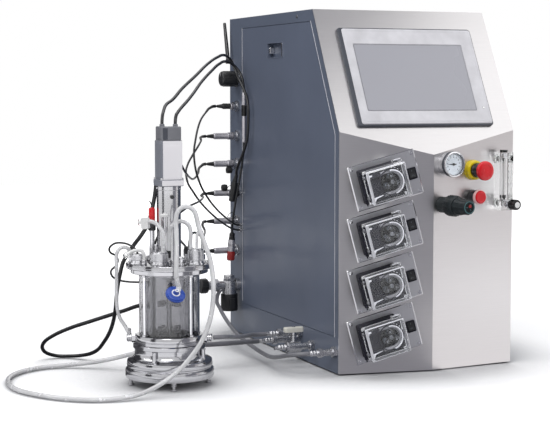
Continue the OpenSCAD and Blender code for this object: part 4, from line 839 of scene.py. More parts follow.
def make_cord_pieces():
    """The pieces on the cords, by name; the caps and the clamp that sit beside them are made too."""
    made = [sensor_plug(i) for i in range(6)]
    made += [wall_plug(), inline_connector(), hanging_plug(), cable_clip(1, 151), cable_clip(2, 195),
             disc_filter(), feed_sleeve()]
    dust_caps()
    vent_stub()
    return {piece.name: piece for piece in made}


# ---------------------------------------------------------------- cabinet details
def edge_highlight_lines():
    """Lines of painted highlight along the side panel's edge: up its front and over the slope, and down its
    back.
    """
    front, back, low, high = STRIP_FRONT - 1.2, CABINET_D - STRIP_REAR + 1.2, STRIP_LOW, CABINET_H - STRIP_TOP
    lean = front / sin(SLOPE_ANGLE)
    knee = KNEE_H + (front - lean) * (CABINET_H - KNEE_H) / SLOPE_RUN
    top = (high - KNEE_H) * SLOPE_RUN / (CABINET_H - KNEE_H) + lean
    yield [(0.1, front, low), (0.1, front, knee - 6), (0.1, front + 0.3, knee), (0.1, front + 3.3, knee + 6),
           (0.1, top, high)]
    yield [(0.1, back, high), (0.1, back, low + 6)]


def side_details():
    """The latch's frame and its sliding catch, painted highlight lines along the side panel's edge, and a
    screw.
    """
    form = Form()
    latch_z = CABINET_H - 80
    latch = on_side(346, latch_z)
    form.frame(34.5, 90.5, 1.6, 1.6, -0.6, 0.5, latch, 1, edge=0.3)
    form.block(29, 4.6, 1, -0.5, 1.3, latch @ move(0, -42.4, 0), edge=0.3)
    # Painted highlight along the side panel's edge.
    for line in edge_highlight_lines():
        form.pipe(line, 0.8, finish=3, n=8)
    screw = on_side(220, CABINET_H - 12)
    form.turned([(3.6, 0), (3.6, 0.7), (2.6, 1.5), (1.2, 1.6), (1.0, 0.8)], screw, 2, n=20)
    form.piece("side_details", [POLISHED, PANEL_PAINT, DARK_METAL, PALE_CLIPS_AND_PAINTED_HIGHLIGHT], "polished_steel")
    slide = Form()
    catch = move(3, 384, latch_z) @ turn(-90, "Y")
    slide.block(15, 10, 1.2, -9.7, 0, catch, edge=0.6)
    slide.block(11, 1.6, 0.6, -0.2, 1.2, catch @ move(0, -2.5, 0), edge=0.3)
    slide.block(11, 1.6, 0.6, -0.2, 1.2, catch @ move(0, 1.5, 0), edge=0.3)
    slide.moving_piece("side_latch_thumb", [POLISHED], "polished_steel", "side_latch_catch")


def touch_panel():
    """Skirt in painted shade slate for its shaded side walls, pale face with a bead round it, and a small
    status lamp.
    """
    w, h, proud = 312, 230, 8
    left, low, screen_w, screen_h = 28, 34, 252, 156
    place = on_slope(42 + w / 2, 9.5 + h / 2)
    window = move(left + screen_w / 2 - w / 2, low + screen_h / 2 - h / 2, 0)
    face_w, face_h, face = w - 11, h - 7, move(3.5, 0.5, 0)
    form = Form()
    # Painted shade: the skirt and the body behind it are slate, standing for the shade on the housing's sides.
    form.block(w - 24, h - 24, 3, -40, -0.2, place, 1)
    form.frame(w, h, 7, 16, 0, proud - 1.4, place, 1, edge=1.6)
    outer = nest(face_w, face_h, (0, 5, 1.5), (0, 5, proud - 1.4), (2.4, 5, proud))
    inner = nest(screen_w, screen_h, (-2, 3, proud), (-0.4, 2.2, proud - 0.8), (-0.4, 2.2, 1.5))
    form.loft(moved(face, outer) + moved(window, inner), place, looped=True)
    for inset in (9, 13):
        bead = nest(face_w - inset, face_h - inset, (-1.4, 4, proud - 0.1), (-1, 4, proud + 0.25),
                    (-0.2, 4, proud + 0.25), (0.2, 4, proud - 0.1))
        form.loft(moved(face, bead), place, looped=True)
    lamp = place @ move(w / 2 - 16, -h / 2 + 40, 0)
    form.turned([(2.6, proud - 0.2), (2.6, proud + 0.3), (2, proud + 0.4)], lamp, 2, n=20)
    form.turned([(2.1, proud + 0.1), (2, proud + 0.7), (0.8, proud + 0.9)], lamp, 3, n=20)
    form.piece("touch_panel_case", [GREY_PLASTIC, PAINTED_SHADE_SLATE, ZINC, WHITE], "grey_plastic", "touch_panel_housing")
    glass = Form()
    glass.block(screen_w - 0.6, screen_h - 0.6, 2, proud - 2.5, proud - 0.5, place @ window, edge=0.3)
    border = nest(screen_w, screen_h, (0.8, 2, proud - 0.7), (0.8, 2, proud - 0.35), (4, 2, proud - 0.35),
                  (4, 2, proud - 0.7))
    glass.loft(border, place @ window, 1, looped=True)
    glass.piece("touch_screen_glass", [SCREEN, SCREEN_EDGE], "screen_glass", "touch_screen")


# ---------------------------------------------------------------- pump stations
SWITCH = move(57, -2, 0)


def pump_plates():
    """The four bevelled plates with their slots for the switch, each under its pump."""
    form = Form()
    edge, face = rounded(145, 93, 2, 0.9), rounded(141.4, 90.4, 1.2, 2)
    slot = [SWITCH @ p for p in rounded(14, 19, 1, 2)]
    for i in range(4):
        place = on_pump(i)
        form.loft([rounded(145, 93, 2, 0), edge], place, 1)
        form.loft([edge, face], place, 1, capped=False)
        form.loft([face, slot], place, capped=False)
    form.piece("pump_back_plates", [PLATE_STEEL, TURNED], "stainless", "pump_plates", sharp=20)


def pump_cover(i):
    """The hinged clear cover: a bevelled box open at the back, its lip round the front edge, tab and hinge
    barrels; the lip and two strips, down the left side and along the tab, are painted highlight.
    """
    place = on_pump(i) @ move(-14, 0, 0)
    w, h, wall, low, high = 85, 70, 2.5, 40.3, 64
    hollow = 2 * wall
    form = Form()
    form.loft(nest(w, h, (0, 3, low), (0, 3, high - 2), (3.2, 2.4, high), (hollow + 2.4, 2, high - wall),
                   (hollow, 1.2, high - wall - 1), (hollow, 1.2, low)), place, looped=True)
    form.loft(slab(w - 6, h - 6, 2, high - wall, high - 0.02), place)
    # Painted highlight: a pale loop round the cover's front edge.
    form.loft(nest(w, h, (0.8, 2.6, high - 1.8), (3.2, 2.6, high + 0.1), (5, 2.6, high + 0.1),
                   (5, 2.6, high - 0.5), (3.8, 2.6, high - 2.2)), place, 1, looped=True)
    # Painted highlight: a strip down the cover's left side, and another along the top of the tab.
    form.block(3.2, h - 7, 0.7, high - 0.5, high + 0.15, place @ move(-w / 2 + 4, 0, 0), 1, edge=0.2)
    form.block(20, 8, 2.4, 48.3, 56.3, place @ move(w / 2 - 13, h / 2 + 3.8, 0), edge=0.8)
    form.block(16, 1.2, 0.5, 54, 56.6, place @ move(w / 2 - 13, h / 2 + 6.6, 0), 1, edge=0.3)
    for y in (-26, -9, 9, 26):
        barrel = place @ move(-w / 2 - 4.5, y - 4, 40) @ turn(-90, "X")
        form.disc(3.4, 0, 8, barrel, 2, n=20)
    piece = form.moving_piece(f"pump_{i + 1}_cover_shell", [CLEAR_PLASTIC, PALE_CLIPS_AND_PAINTED_HIGHLIGHT, PUMP_BLACK],
                              "clear_plastic", f"pump_cover_{i + 1}")
    piece.visible_shadow = False


def pump_rocker(i):
    """The rocker with its two marks."""
    place = on_pump(i) @ SWITCH @ move(0, 0, 0.4) @ turn(-10, "X")
    form = Form()
    top = [(-9, 4.6), (-8.2, 5.4), (-2, 4.3), (2, 4.3), (8.2, 5.4), (9, 4.6), (9, -2), (-9, -2)]
    form.loft([[Vector((x, y, z)) for y, z in top] for x in (-6.5, -6.1, 6.1, 6.5)], place)
    form.loft(slab(0.9, 4, 0.3, 4.6, 5.15, 2), place @ move(0, 5.4, 0), 1)
    form.bead(1.5, 0.6, 4.6, 0.5, 0, place @ move(0, -5.4, 0), 1, n=24)
    form.moving_piece(f"pump_{i + 1}_rocker", [BLACK, ROLLER], "black_plastic", f"pump_switch_{i + 1}")


def pump_station(i):
    """What the plate of pump i carries: tube clamps, screws, a bed rim on the housing and a painted highlight
    arc along the tube, then the rotor.
    """
    place, name = on_pump(i), f"pump_{i + 1}"
    rotor = place @ move(-2, 0, 0)
    fixed = Form()
    foot = [(-54, -31.5), (-49, -31.5), (-42.5, -23.6), (-27, -20.6), (-27, -19.6), (-51, -21.5)]
    clip = [(-50, 17.6), (-46.5, 17.6), (-46.5, 20.6), (-41, 21.6), (-41, 24.6), (-46.5, 25), (-46.5, 28),
            (-50, 28)]
    for shape in (foot, clip):
        fixed.loft(outline(shape, 49.6, 50.8), place, 3)
    for y in (-21.5, 21.5):
        fixed.block(30, 9, 1, 46.2, 49.4, place @ move(-38, y, 0), 1, edge=0.6)
        fixed.turned([(4.4, 0), (4.4, 5)], place @ move(-47, y, 42.5) @ turn(-90, "Y"), 1, n=16)
    for k in range(12):
        fixed.block(1.6, 3.4, 0.3, 39.9, 40.5, rotor @ turn(13.6 * k - 75, "Z") @ move(28.6, 0, 0), 2, edge=0.1)
    fixed.bead(25.4, 1.7, 46, 2.6, 0, rotor, 1)
    # Painted highlight: a pale arc along the pumped tube in its bed.
    fixed.pipe(arc(23.6, 48.4, -84, 90, 6), 1.5, rotor, 3, n=10)
    for x in (-51, 22):
        for y in (-29.5, 29.5):
            screw = place @ move(x, y, 0)
            fixed.turned([(2.6, 39.9), (2.6, 41), (1.9, 41.4), (1.2, 41.4), (1.1, 40.6)], screw, 2, n=16)
    fixed.piece(name + "_tube_clamps", [SILICONE, PUMP_BLACK, ZINC, PALE_CLIPS_AND_PAINTED_HIGHLIGHT], "silicone_white")

    turning = Form()
    turning.disc(18, 28.7, 30.6, rotor)
    lobes = [(a, 9.6 + 7.2 * cos(3 * (a - pi / 2))) for a in (2 * pi * k / 60 for k in range(60))]
    turning.loft([[Vector(((r - less) * cos(a), (r - less) * sin(a), z)) for a, r in lobes]
                  for less, z in ((0, 45.8), (0, 47.4), (0.6, 48))], rotor)
    turning.turned([(4.8, 30.6), (4.8, 46)], rotor, n=24)
    turning.turned([(2.9, -14), (2.9, 29)], rotor, 1, n=20)
    turning.turned([(4.6, 48), (4.6, 49.2), (3.8, 49.9), (2.2, 49.9), (2.0, 48.6)], rotor, 1, n=24)
    for spin in around(3, 90):
        roller = rotor @ spin @ move(11.5, 0, 0)
        turning.turned([(5.4, 31), (5.9, 31.5), (5.9, 45), (5.4, 45.6)], roller, 2, n=28)
        turning.turned([(2.4, 48), (2.4, 48.8), (1.8, 49.1), (1.0, 48.4)], roller, 1, n=16)
    turning.moving_piece(name + "_rotor", [GLOSS_BLACK, DARK_METAL, ROLLER], "motor_metal",
                         f"pump_rotor_{i + 1}")


# ---------------------------------------------------------------- instruments on the right wing
def gauge():
    """Dial with its ticks and figures, case rings, lens and needle; the case ring's outside and the dial's
    inner wall are painted shade.
    """
    place = on_right_wing(33.8, 427)
    form = Form()
    form.turned([(22.8, 19.9), (22.8, 20.25)], place)
    start, sweep, ticks, figures = 225, 270, 50, 10
    for k in range(ticks + 1):
        w, h, r = (2.4, 0.35, 20.3) if k % 5 else (4.4, 0.7, 19.6)
        tick = place @ turn(start - sweep * k / ticks, "Z") @ move(r, 0, 0)
        form.loft(slab(w, h, 0.15, 20.2, 20.4, 1), tick, 1)
    for k in range(figures + 1):
        a = start - sweep * k / figures
        form.loft(slab(1.6, 2.4, 0.5, 20.2, 20.35, 2),
                  place @ turn(a, "Z") @ move(14.6, 0, 0) @ turn(-a, "Z"), 2)
    form.ring([(22.7, 20.5), (24.4, 20.5), (26.1, 21.4), (26.4, 23), (26, 24.9), (24.6, 25.7), (23, 25.2),
               (22.5, 24)], place, 3)
    # Painted shade: slate on the outside of the case ring and on the wall round the dial.
    form.ring([(25.1, 15.5), (26.2, 16), (26.6, 17), (26.6, 23.2), (26.2, 24), (25.1, 24)], place, 2)
    form.bead(22.3, 0.5, 20.3, 4.3, 0, place, 2)
    form.piece("gauge_dial", [DIAL, INK, PAINTED_SHADE_SLATE, POLISHED], "zinc_metal")
    lens = Form()
    lens.turned([(22.2, 23.1), (22.2, 23.9), (15, 24.4), (6, 24.6)], place)
    lens.piece("gauge_lens", [CLEAR_ACRYLIC], "clear_plastic")
    needle = Form()
    needle.loft(outline(((-17.5, 0), (-3, -0.8), (6.5, -1.1), (6.5, 1.1), (-3, 0.8)), 21.2, 21.7), place)
    needle.turned([(2.6, 20.7), (2.6, 22), (1.6, 22.5)], place, n=24)
    needle.moving_piece("gauge_pointer", [INK], "black_plastic", "gauge_needle")


def stop_and_push_buttons():
    """The yellow emergency stop with its red head, and below it the red push button."""
    place = on_right_wing(96.5, 413)
    base = Form()
    base.turned([(10.8, -26), (10.8, -0.5), (20.6, -0.1), (21, 0.6), (21, 2.6), (20.2, 3.2), (20.2, 11),
                 (19, 12.6), (18.2, 13.8), (15.4, 14)], place)
    base.turned([(15, 13.6), (15, 20), (14.2, 21), (14.2, 31.6), (13.4, 32.6), (7.4, 32.6), (7.4, 16)], place,
                1)
    base.hexagon(27, -8, -2.2, place, 1)
    base.piece("stop_base", [YELLOW, GLOSS_BLACK], "yellow_plastic", "stop_body")
    head = Form()
    head.turned([(6.8, 21), (6.8, 38.6), (17.6, 38.6), (19.4, 39.6), (20, 41.4), (20, 45.4), (19.3, 47.4),
                 (17.2, 48.9), (13.5, 49.5), (6, 49.9)], place, n=56)
    for a in (30, 150, 270):
        head.pipe(arc(12.6, 49.55, a, a + 70, 10), 0.9, place, n=8, r_end=0.5)
    head.moving_piece("stop_mushroom", [RED], "red_plastic", "stop_button")

    place = on_right_wing(97.5, 358)
    body = Form()
    body.turned([(10.8, -26), (10.8, 0), (13.6, 0.1), (14, 0.8), (14, 20.6), (13.4, 21.2)], place)
    body.ring([(13.2, 21), (15, 21.6), (15.4, 23), (15.4, 26.6), (14.8, 28), (13.8, 28.2), (13.2, 27.6)],
              place, 1)
    body.hexagon(27, -8, -2.2, place)
    body.piece("push_button_barrel", [GLOSS_BLACK, PINK_LENS], "gloss_black", "push_button_body")
    cap = Form()
    cap.turned([(12.9, 25.1), (12.9, 29), (12.2, 30.4), (9.4, 31), (8.6, 30.4), (4, 30.2)], place)
    cap.moving_piece("push_button_lens", [RED], "red_plastic", "push_button_cap")


def regulator():
    """The pressure regulator: a fixed case with a coupling ring, and the handle that turns."""
    place = on_right_wing(20, 344)
    body = Form()
    body.turned([(9.5, -22), (9.5, 0), (15.6, 0.1), (16.4, 1), (16.4, 24), (18, 26), (19.4, 28), (19.5, 30)],
                place)
    body.knurled(21.5, 30, 50, place, teeth=24, depth=0.8)
    body.turned([(20.8, 49.5), (20.6, 51), (17.6, 56), (8, 56)], place)
    body.hexagon(26, -7, -2.2, place)
    body.piece("regulator_case", [MATT_BLACK], "gloss_black", "regulator_body")
    knob = Form()
    knob.turned([(4.8, 38), (4.8, 56.5), (16.6, 57), (17.2, 58), (17.2, 63), (16.4, 65), (14.6, 75.5)], place)
    for spin in around(12):
        knob.pipe([(17.1, 0, 60), (16.6, 0, 66), (14.9, 0, 75), (14.5, 0, 80), (14.4, 0, 92)], 0.9,
                  place @ spin, n=8)
    knob.turned([(14.5, 75), (14.5, 92), (13.6, 94), (12.4, 94.2)], place)
    knob.ring([(10.9, 93.6), (12.6, 93.6), (12.4, 95), (10.9, 94.8)], place, 1)
    knob.turned([(10.9, 93.4), (10.9, 94.2)], place)
    knob.turned([(3.4, 94), (3.2, 94.9), (1.5, 95)], place @ move(1.5, 2.5, 0), 2, n=20)
    for spin in around(3, 60):
        knob.block(4.6, 1.1, 0.4, 94, 94.7, place @ spin @ move(6, 0, 0), 1, edge=0.2)
    knob.moving_piece("regulator_handle", [MATT_BLACK, TEAL, DULL_RED], "gloss_black", "regulator_knob")


def flowmeter():
    """Scale, plugs, fittings and valve knob of the clear flowmeter."""
    h, gap, depth, knob_up = 120, 8, 25, 13
    place, front = on_right_wing(162, 329), gap + depth
    ink, zero, pitch = 0.15, 30, 2.5
    form = Form()
    for k in range(31):
        w, x = (3, 10) if k % 5 else (5, 9)
        form.loft(slab(w, 0.45, 0.15, front, front + ink, 1), place @ move(x, zero + pitch * k, 0))
    for k in range(7):
        form.loft(slab(1.6, 2.6, 0.5, front, front + ink, 2), place @ move(3.2, zero + 5 * pitch * k, 0))
    for x in (-5.4, 5.4):
        form.block(0.7, 86, 0.3, front - 7.6, front - 6.8, place @ move(x, 65, 0), edge=0.1)
    cap = place @ move(0, h, gap + depth / 2) @ turn(-90, "X")
    form.turned([(7.6, -0.4), (8, 0.4), (8, 4), (7.2, 5)], cap)
    form.turned([(5.2, -12), (5.2, -2)], cap, 1, n=24)
    form.turned([(5.2, -102), (5.2, -97.8)], cap, 1, n=24)
    for y in (14, h - 14):
        form.ring([(6, 0.2), (9, 0.2), (9, 6), (8.4, 7), (6, 7)], place @ move(0, y, 0), 2, n=24)
    stem = place @ move(0, knob_up, 0)
    form.turned([(7, front - 0.2), (7, front + 3), (6.4, front + 4), (4.2, front + 4)], stem, 1, n=30)
    form.piece("flowmeter_scale", [INK, ZINC, WHITE], "black_plastic")
    knob = Form()
    knob.turned([(3.9, front - 9), (3.9, front + 15.2)], stem, 1, n=20)
    knob.knurled(11, front + 15, front + 33, stem, teeth=26, depth=0.7)
    knob.turned([(10, front + 32.8), (9.8, front + 34), (9, front + 34.4)], stem)
    knob.turned([(6.2, front + 33.5), (6.2, front + 34.8), (5.4, front + 35)], stem, 2)
    knob.moving_piece("flowmeter_handle", [GLOSS_BLACK, ZINC, WHITE], "gloss_black", "flowmeter_knob")


# ---------------------------------------------------------------- left side of the cabinet
def side_fittings():
    """The round switch knob, the supply valve, the hose barbs and the water valve's lever."""
    knob = Form()
    place = on_side(SOCKET_Y, 604)
    knob.turned([(4, 2), (4, 5.5), (16.6, 5.4), (17.6, 6.4), (17.9, 10), (17.9, 38), (17, 41.6), (14.6, 43.6),
                 (6, 44)], place)
    for spin in around(24):
        knob.pipe([(17.8, 0, 9), (17.9, 0, 24), (17.8, 0, 38)], 0.45, place @ spin, n=6)
    knob.block(12, 1.4, 0.6, 43.6, 44.0, place @ move(9, 0, 0), 1, edge=0.2)
    knob.moving_piece("main_switch_handle", [BLACK, WHITE], "gloss_black", "main_switch_knob")

    form = Form()
    valve_y = 576
    side = on_side(valve_y, 118)
    form.turned([(15, 0), (15, 9), (14, 10), (10, 10.5), (10, 79)], side)
    form.hexagon(26, 52, 62, side)
    for z in (16, 22, 68, 74):
        form.bead(9.8, 1.2, z, 3, 0.5, side, n=28)
    form.turned([(12, 79), (16.2, 80), (17, 81.5), (17, 95.5), (16, 97), (9, 97)], side, 1)
    for spin in around(12):
        form.pipe([(17, 0, 82), (17, 0, 95)], 0.9, side @ spin, 1, n=6)
    up = move(-24, valve_y, 0)
    form.turned([(17, 97), (17, 125.6), (16, 127), (12.6, 127.4), (12.6, 139.6), (11.6, 141), (5, 141)], up)
    form.hexagon(25, 128, 134, up)
    form.turned([(18.8, 57), (20, 58.5), (20, 95.5), (18.8, 97)], up, 1)
    form.block(14, 18, 2, 62, 88, move(-24, valve_y - 16, 0), 1)
    form.pipe([(-40, valve_y, 112), (-44, valve_y, 108), (-48, valve_y, 104)], 4.5, n=20)
    form.piece("supply_valve_body", [SATIN_STEEL, BLACK], "dark_metal", "supply_valve")

    barbs = Form()
    for y, z, length in ((196, 61, 80), (212, 44, 85), (130, 42, 88), (14, 47, 65)):
        port = on_side(y, z)
        for start in (length - 24, length - 18, length - 12):
            barbs.turned([(4.7, start), (6.1, start + 1), (4.9, start + 5)], port, n=24)
        barbs.bead(6.8, 1.8, length - 36, 2.2, 0.6, port)
        for start in (12, 16, 20):
            if start < length - 40:
                barbs.bead(6.8, 0.55, start, 2.3, 0.5, port, n=28)
    barbs.piece("hose_barbs", [ZINC], "machined_steel")
    lever = Form()
    place = move(-45, 130, 0)
    lever.turned([(6.4, 63), (6.4, 66), (5.2, 67.5), (5.2, 73.4)], place, 1, n=24)
    sections = ((38, 11, 4.5, 72.6), (42.6, 15, 5.6, 73.6), (43.4, 16, 6, 78), (43, 15.6, 6, 82.4),
                (41, 13.6, 5, 83.6), (30, 7, 3, 83.8))
    lever.loft([rounded(*section, 7) for section in sections], place)
    lever.turned([(4, 83.2), (4, 84.6), (3, 85), (1.4, 85), (1.3, 84)], place, 1, n=20)
    lever.moving_piece("water_valve_lever", [CREAM, ZINC], "cream_plastic", "water_valve_handle")


# ---------------------------------------------------------------- vessel and motor
FINE = 72  # sides of a large one
BASE_R = GLASS_R + 27.5
NECK_R = GLASS_R + 7.5
ROD_R = GLASS_R + 4.1
COLLAR_R = GLASS_R + 8
FLANGE_R = GLASS_R + 12
HEAD_R = GLASS_R + 25
HEAD_THICK = 19
COLLAR_TOP = FLANGE_TOP + 18
CORNERS = (45, 135, 225, 315)
# Each port: sideways, forwards, diameter, height.
PORTS = ((-15, 47, 34, 25), (-58, 28, 28, 20), (54, 33, 31, 30), (27, 58, 12, 18), (-30, -48, 26, 30),
         (36, -46, 22, 24), (66, 8, 10, 22), (-74, 10, 10, 16))
# Each probe: sideways, forwards, diameter, reach below the head, length above it.
PROBES = ((-33, 3, 10, 110, 82), (33, -6, 6, 115, 16), (2, 33, 6, 120, 12), (0, -36, 6, 60, 40))


def dome_nut(form, place, across):
    """A hexagon nut with a domed cap."""
    form.hexagon(across, 0, across * 0.45, place)
    r = across * 0.44
    form.turned([(r, across * 0.4), (r, across * 0.55), (r * 0.85, across * 0.8), (r * 0.45, across * 0.95),
                 (0.3, across)], place, n=20)


def vessel_stand():
    """The turned base with its neck and flange, four posts and the levelling feet."""
    r, n, f, top = BASE_R, NECK_R, FLANGE_R, FLANGE_TOP
    form = Form()
    form.ring([(n - 15, 16), (r - 1.8, 16), (r - 0.5, 16.6), (r, 18), (r, 31), (r - 0.8, 33.4), (r - 2.6, 34.8),
               (r - 4.2, 35.4), (r - 4.2, 37), (r - 3.3, 38), (r - 3, 39), (r - 3, 47.6), (r - 3.8, 50.2),
               (r - 6, 51.8), (n + 9, 53), (n + 4.6, 55), (n + 2, 58), (n + 0.5, 62), (n, 66), (n, top - 8.6),
               (f - 0.6, top - 8), (f, top - 7.4), (f, top - 0.8), (f - 0.7, top - 0.1), (0.4, top - 0.1),
               (0.4, top - 8), (n - 15, top - 8)], at_vessel(), n=FINE)
    for z in (20.5, 28.5, 41.5):
        edge = r if z < 40 else r - 3
        form.bead(edge - 0.4, 0.65, z, 1.2, 0.3, at_vessel(), n=FINE)
    for spin in around(4, 228):
        post = at_vessel() @ spin @ move(n + 4.6, 0, 0)
        form.turned([(4.6, 51.6), (5, 52.4), (5, 55), (4, 56), (4, top - 10), (4.8, top - 9), (4.8, top - 8)],
                    post, n=28)
    form.piece("vessel_stand", [VESSEL_STEEL], "machined_steel", "vessel_base")
    feet = Form()
    for spin in around(4, -12):
        foot = at_vessel() @ spin @ move(n + 9, 0, 0)
        feet.turned([(5.2, 0), (6, 0.8), (6, 3.4), (5, 4.1), (3.2, 4.3), (3.2, 15.8)], foot, n=28)
        feet.knurled(4.6, 7.6, 11.6, foot, teeth=18, depth=0.4)
        feet.hexagon(9, 12.4, 15.9, foot)
    feet.piece("levelling_feet", [SATIN_STEEL], "polished_steel", "vessel_feet")


def vessel_collar():
    """The lower clamp ring with the two water couplings."""
    r, bore = COLLAR_R, GLASS_R + 0.4
    form = Form()
    form.ring([(bore, 0.1), (r - 0.8, 0.1), (r, 1), (r, 6), (r - 0.9, 6.8), (r - 0.9, 8), (r, 8.8), (r, 15.8),
               (r - 0.7, 17.3), (r - 2.2, 18), (bore + 1.2, 18), (bore, 16.8)], at_vessel(FLANGE_TOP), n=FINE)
    for a in (0, 180):
        place = round_vessel(a, r, FLANGE_TOP + 10) @ turn(90, "Y")
        form.hexagon(17, -1, 7, place)
        form.turned([(7, 6.6), (8, 7.6), (8, 10), (7.4, 10.6), (7.4, 11.6), (8, 12.2), (8, 14.6), (6.4, 16.4),
                     (4, 16.5)], place)
    form.turned([(3.4, 16), (3.4, 19), (2.9, 20), (3.9, 21), (2.9, 24.4), (3.9, 25.4), (2.9, 28.6), (2.2, 29)],
                round_vessel(180, r + 12, FLANGE_TOP), n=20)
    form.piece("vessel_clamp_ring", [VESSEL_STEEL], "polished_steel", "jacket_collar")


def vessel_head():
    """The two stacked plates of the head, their small bolts, and the tie rods' nuts."""
    r, t = HEAD_R, HEAD_THICK
    plates = at_vessel(HEAD_TOP - t)
    form = Form()
    form.ring([(4.3, -14), (13.4, -14), (14, -13.4), (14, 0), (r - 9.4, 0), (r - 8.5, 0.9), (r - 8.5, 8),
               (r - 9.2, 9), (r - 1.4, 9), (r, 10.4), (r, t - 1.4), (r - 0.4, t - 0.4), (r - 1.4, t),
               (4.3, t)], plates, n=FINE)
    form.bead(r - 0.6, 0.75, t - 5.6, 1.4, 0.4, plates, n=FINE)
    for a in CORNERS:
        dome_nut(form, round_vessel(a, ROD_R, HEAD_TOP), 10)
        form.hexagon(10, -5, -0.1, round_vessel(a, ROD_R, HEAD_TOP - t))
        form.hexagon(10, 0, 4.6, round_vessel(a, ROD_R, COLLAR_TOP))
    for a in range(15, 375, 30):
        if min(abs(a - b) for b in CORNERS) >= 10:
            bolt = round_vessel(a, r - 5, HEAD_TOP)
            form.turned([(2.6, 0), (2.6, 2.2), (2.2, 2.7), (1.3, 2.7), (1.3, 1.4), (0.3, 1.4)], bolt, n=16)
    form.piece("vessel_head_plates", [VESSEL_STEEL], "machined_steel", "head_plate")


def head_port(form, sideways, forwards, d, height):
    """A port with a gland ring and a knurled cap; the small ones carry a hexagon nut and a hose barb."""
    place, r = at_head(sideways, forwards, HEAD_TOP), d / 2
    form.turned([(r + 0.6, 0), (r + 1, 0.4), (r + 1, 3.4), (r + 0.5, 4), (r - 1.5, 4.1), (r - 1.5, 6.9)], place)
    if d < 15:
        form.hexagon(2 * r - 0.6, 7, height - 5, place)
        form.turned([(r * 0.5, height - 5), (r * 0.5, height - 3.6), (r * 0.72, height - 3),
                     (r * 0.5, height - 0.4), (r * 0.36, height)], place, n=20)
        return
    form.knurled(r, 7, height - 2.4, place, 1, teeth=round(d * 1.3), depth=0.45)
    form.turned([(r - 1.3, height - 2.6), (r - 1, height - 1), (r - 1.8, height - 0.1), (r - 4.4, height),
                 (r - 5, height - 0.8), (r * 0.42, height - 0.8), (r * 0.42, height)], place)
    form.hexagon(r * 0.62, height - 0.9, height + 0.6, place)


def head_fittings():
    """Ports and probes of the head, with the pipe, the elbow and the red sleeve among them."""
    form = Form()
    for port in PORTS:
        head_port(form, *port)
    for sideways, forwards, d, reach, above in PROBES:
        place, r, end = at_head(sideways, forwards, HEAD_TOP), d / 2, above + 2.5 * d
        low = -HEAD_THICK - reach
        form.turned([(r * 0.8, low), (r, low + 2), (r, above)], place, n=24)
        form.hexagon(2 * r + 3.6, 0, 5, place)
        form.turned([(r + 2, 5), (r + 2.4, 5.6), (r + 2.4, 8.4), (r + 0.2, 9)], place, n=28)
        form.turned([(r, above), (r + 1, above + 0.8), (r + 1, end - 1), (r * 0.7, end)], place, 2, n=24)
    form.piece("head_ports", [TURNED, SATIN_STEEL, BLACK], "stainless", "head_fittings")
    extras = Form()
    pipe = at_head(-5, 44)
    extras.turned([(1.75, 264), (1.75, 336)], pipe, n=16)
    extras.turned([(8, 334.4), (8.7, 335.2), (8.7, 338.8), (8, 339.6), (3, 339.8), (2.6, 342)], pipe, 1, n=28)
    extras.turned([(2.6, 264), (3.4, 265), (3.4, 270), (2.4, 271)], pipe, n=20)
    small = at_head(-24, 20)
    extras.hexagon(9, 241, 247, small)
    extras.turned([(3.2, 247), (3.2, 254), (4.6, 255), (4.6, 262), (3, 263), (3, 268), (4, 269), (2.6, 276)],
                  small, n=24)
    extras.bead(4.4, 1, 256, 5, 0.6, small, 3, n=24)
    elbow = [(-46, 36, 242), (-46, 36, 254), (-46.5, 36, 262), (-50, 35.5, 267.4), (-57, 34.6, 268.8),
             (-66, 33, 267), (-76, 29, 262), (-83, 26, 257)]
    extras.pipe([head_point(*p) for p in elbow], 3.6, finish=1, n=16)
    extras.bead(3.4, 1.6, -3, 6, 0.6, at_head(-46, 36, 249), 1, n=20)
    extras.turned([(2.6, -4), (5.2, -3), (5.2, 6), (3.8, 8), (3.8, 14)],
                  along(head_point(-83, 26, 257), head_point(-77, 28.5, 261.4)), 2, n=20)
    extras.piece("head_extras", [TURNED, WHITE, CLEAR_ACRYLIC, SILICONE], "silicone_white")
    sleeve = Form()
    probe = at_head(-33, 3)
    sleeve.turned([(5.4, 321), (6.4, 322), (6.5, 324), (6.2, 326), (6.2, 346), (5.6, 348), (3, 349)], probe,
                  n=28)
    for z in (328, 332, 336):
        sleeve.bead(6, 0.6, z, 2, 0.5, probe, n=28)
    sleeve.turned([(6, 304), (7.4, 305), (7.4, 313), (6.8, 314), (6.8, 320), (5.6, 321)], probe, 1, n=28)
    lead = [(-33, 3, 348), (-33.4, 3, 353), (-35, 3, 358), (-37.6, 3, 362)]
    sleeve.pipe([head_point(*p) for p in lead], 1.1, finish=1, n=10)
    sleeve.piece("probe_sleeve", [RED, BLACK], "red_plastic")


def vessel_column():
    """The tube that carries the motor, with its end rings, screws and a small lock knob."""
    form = Form()
    h = COLUMN_TOP - HEAD_TOP
    form.ring([(20, 0), (24, 0), (24, 5), (23.6, 5.8), (23.6, h - 8), (24, h - 7.4), (24, h), (20, h)],
              at_vessel(HEAD_TOP), n=FINE)
    knob = at_head(9, 0, 371) @ turn(90, "X")
    form.turned([(1.8, 19), (1.8, 23), (3.6, 23.4), (3.8, 24.4), (3.8, 29), (3.2, 30), (1.4, 30.2)], knob, 1,
                n=24)
    for a in (200, 340, 90):
        screw = round_vessel(a, 23.6, COLUMN_TOP - 4) @ turn(90, "Y")
        form.turned([(2.4, -0.4), (2.4, 1.2), (1.9, 1.6), (1.1, 1.6), (1.0, 0.8)], screw, n=16)
    form.piece("motor_tube", [TURNED, BLACK], "machined_steel", "motor_column")


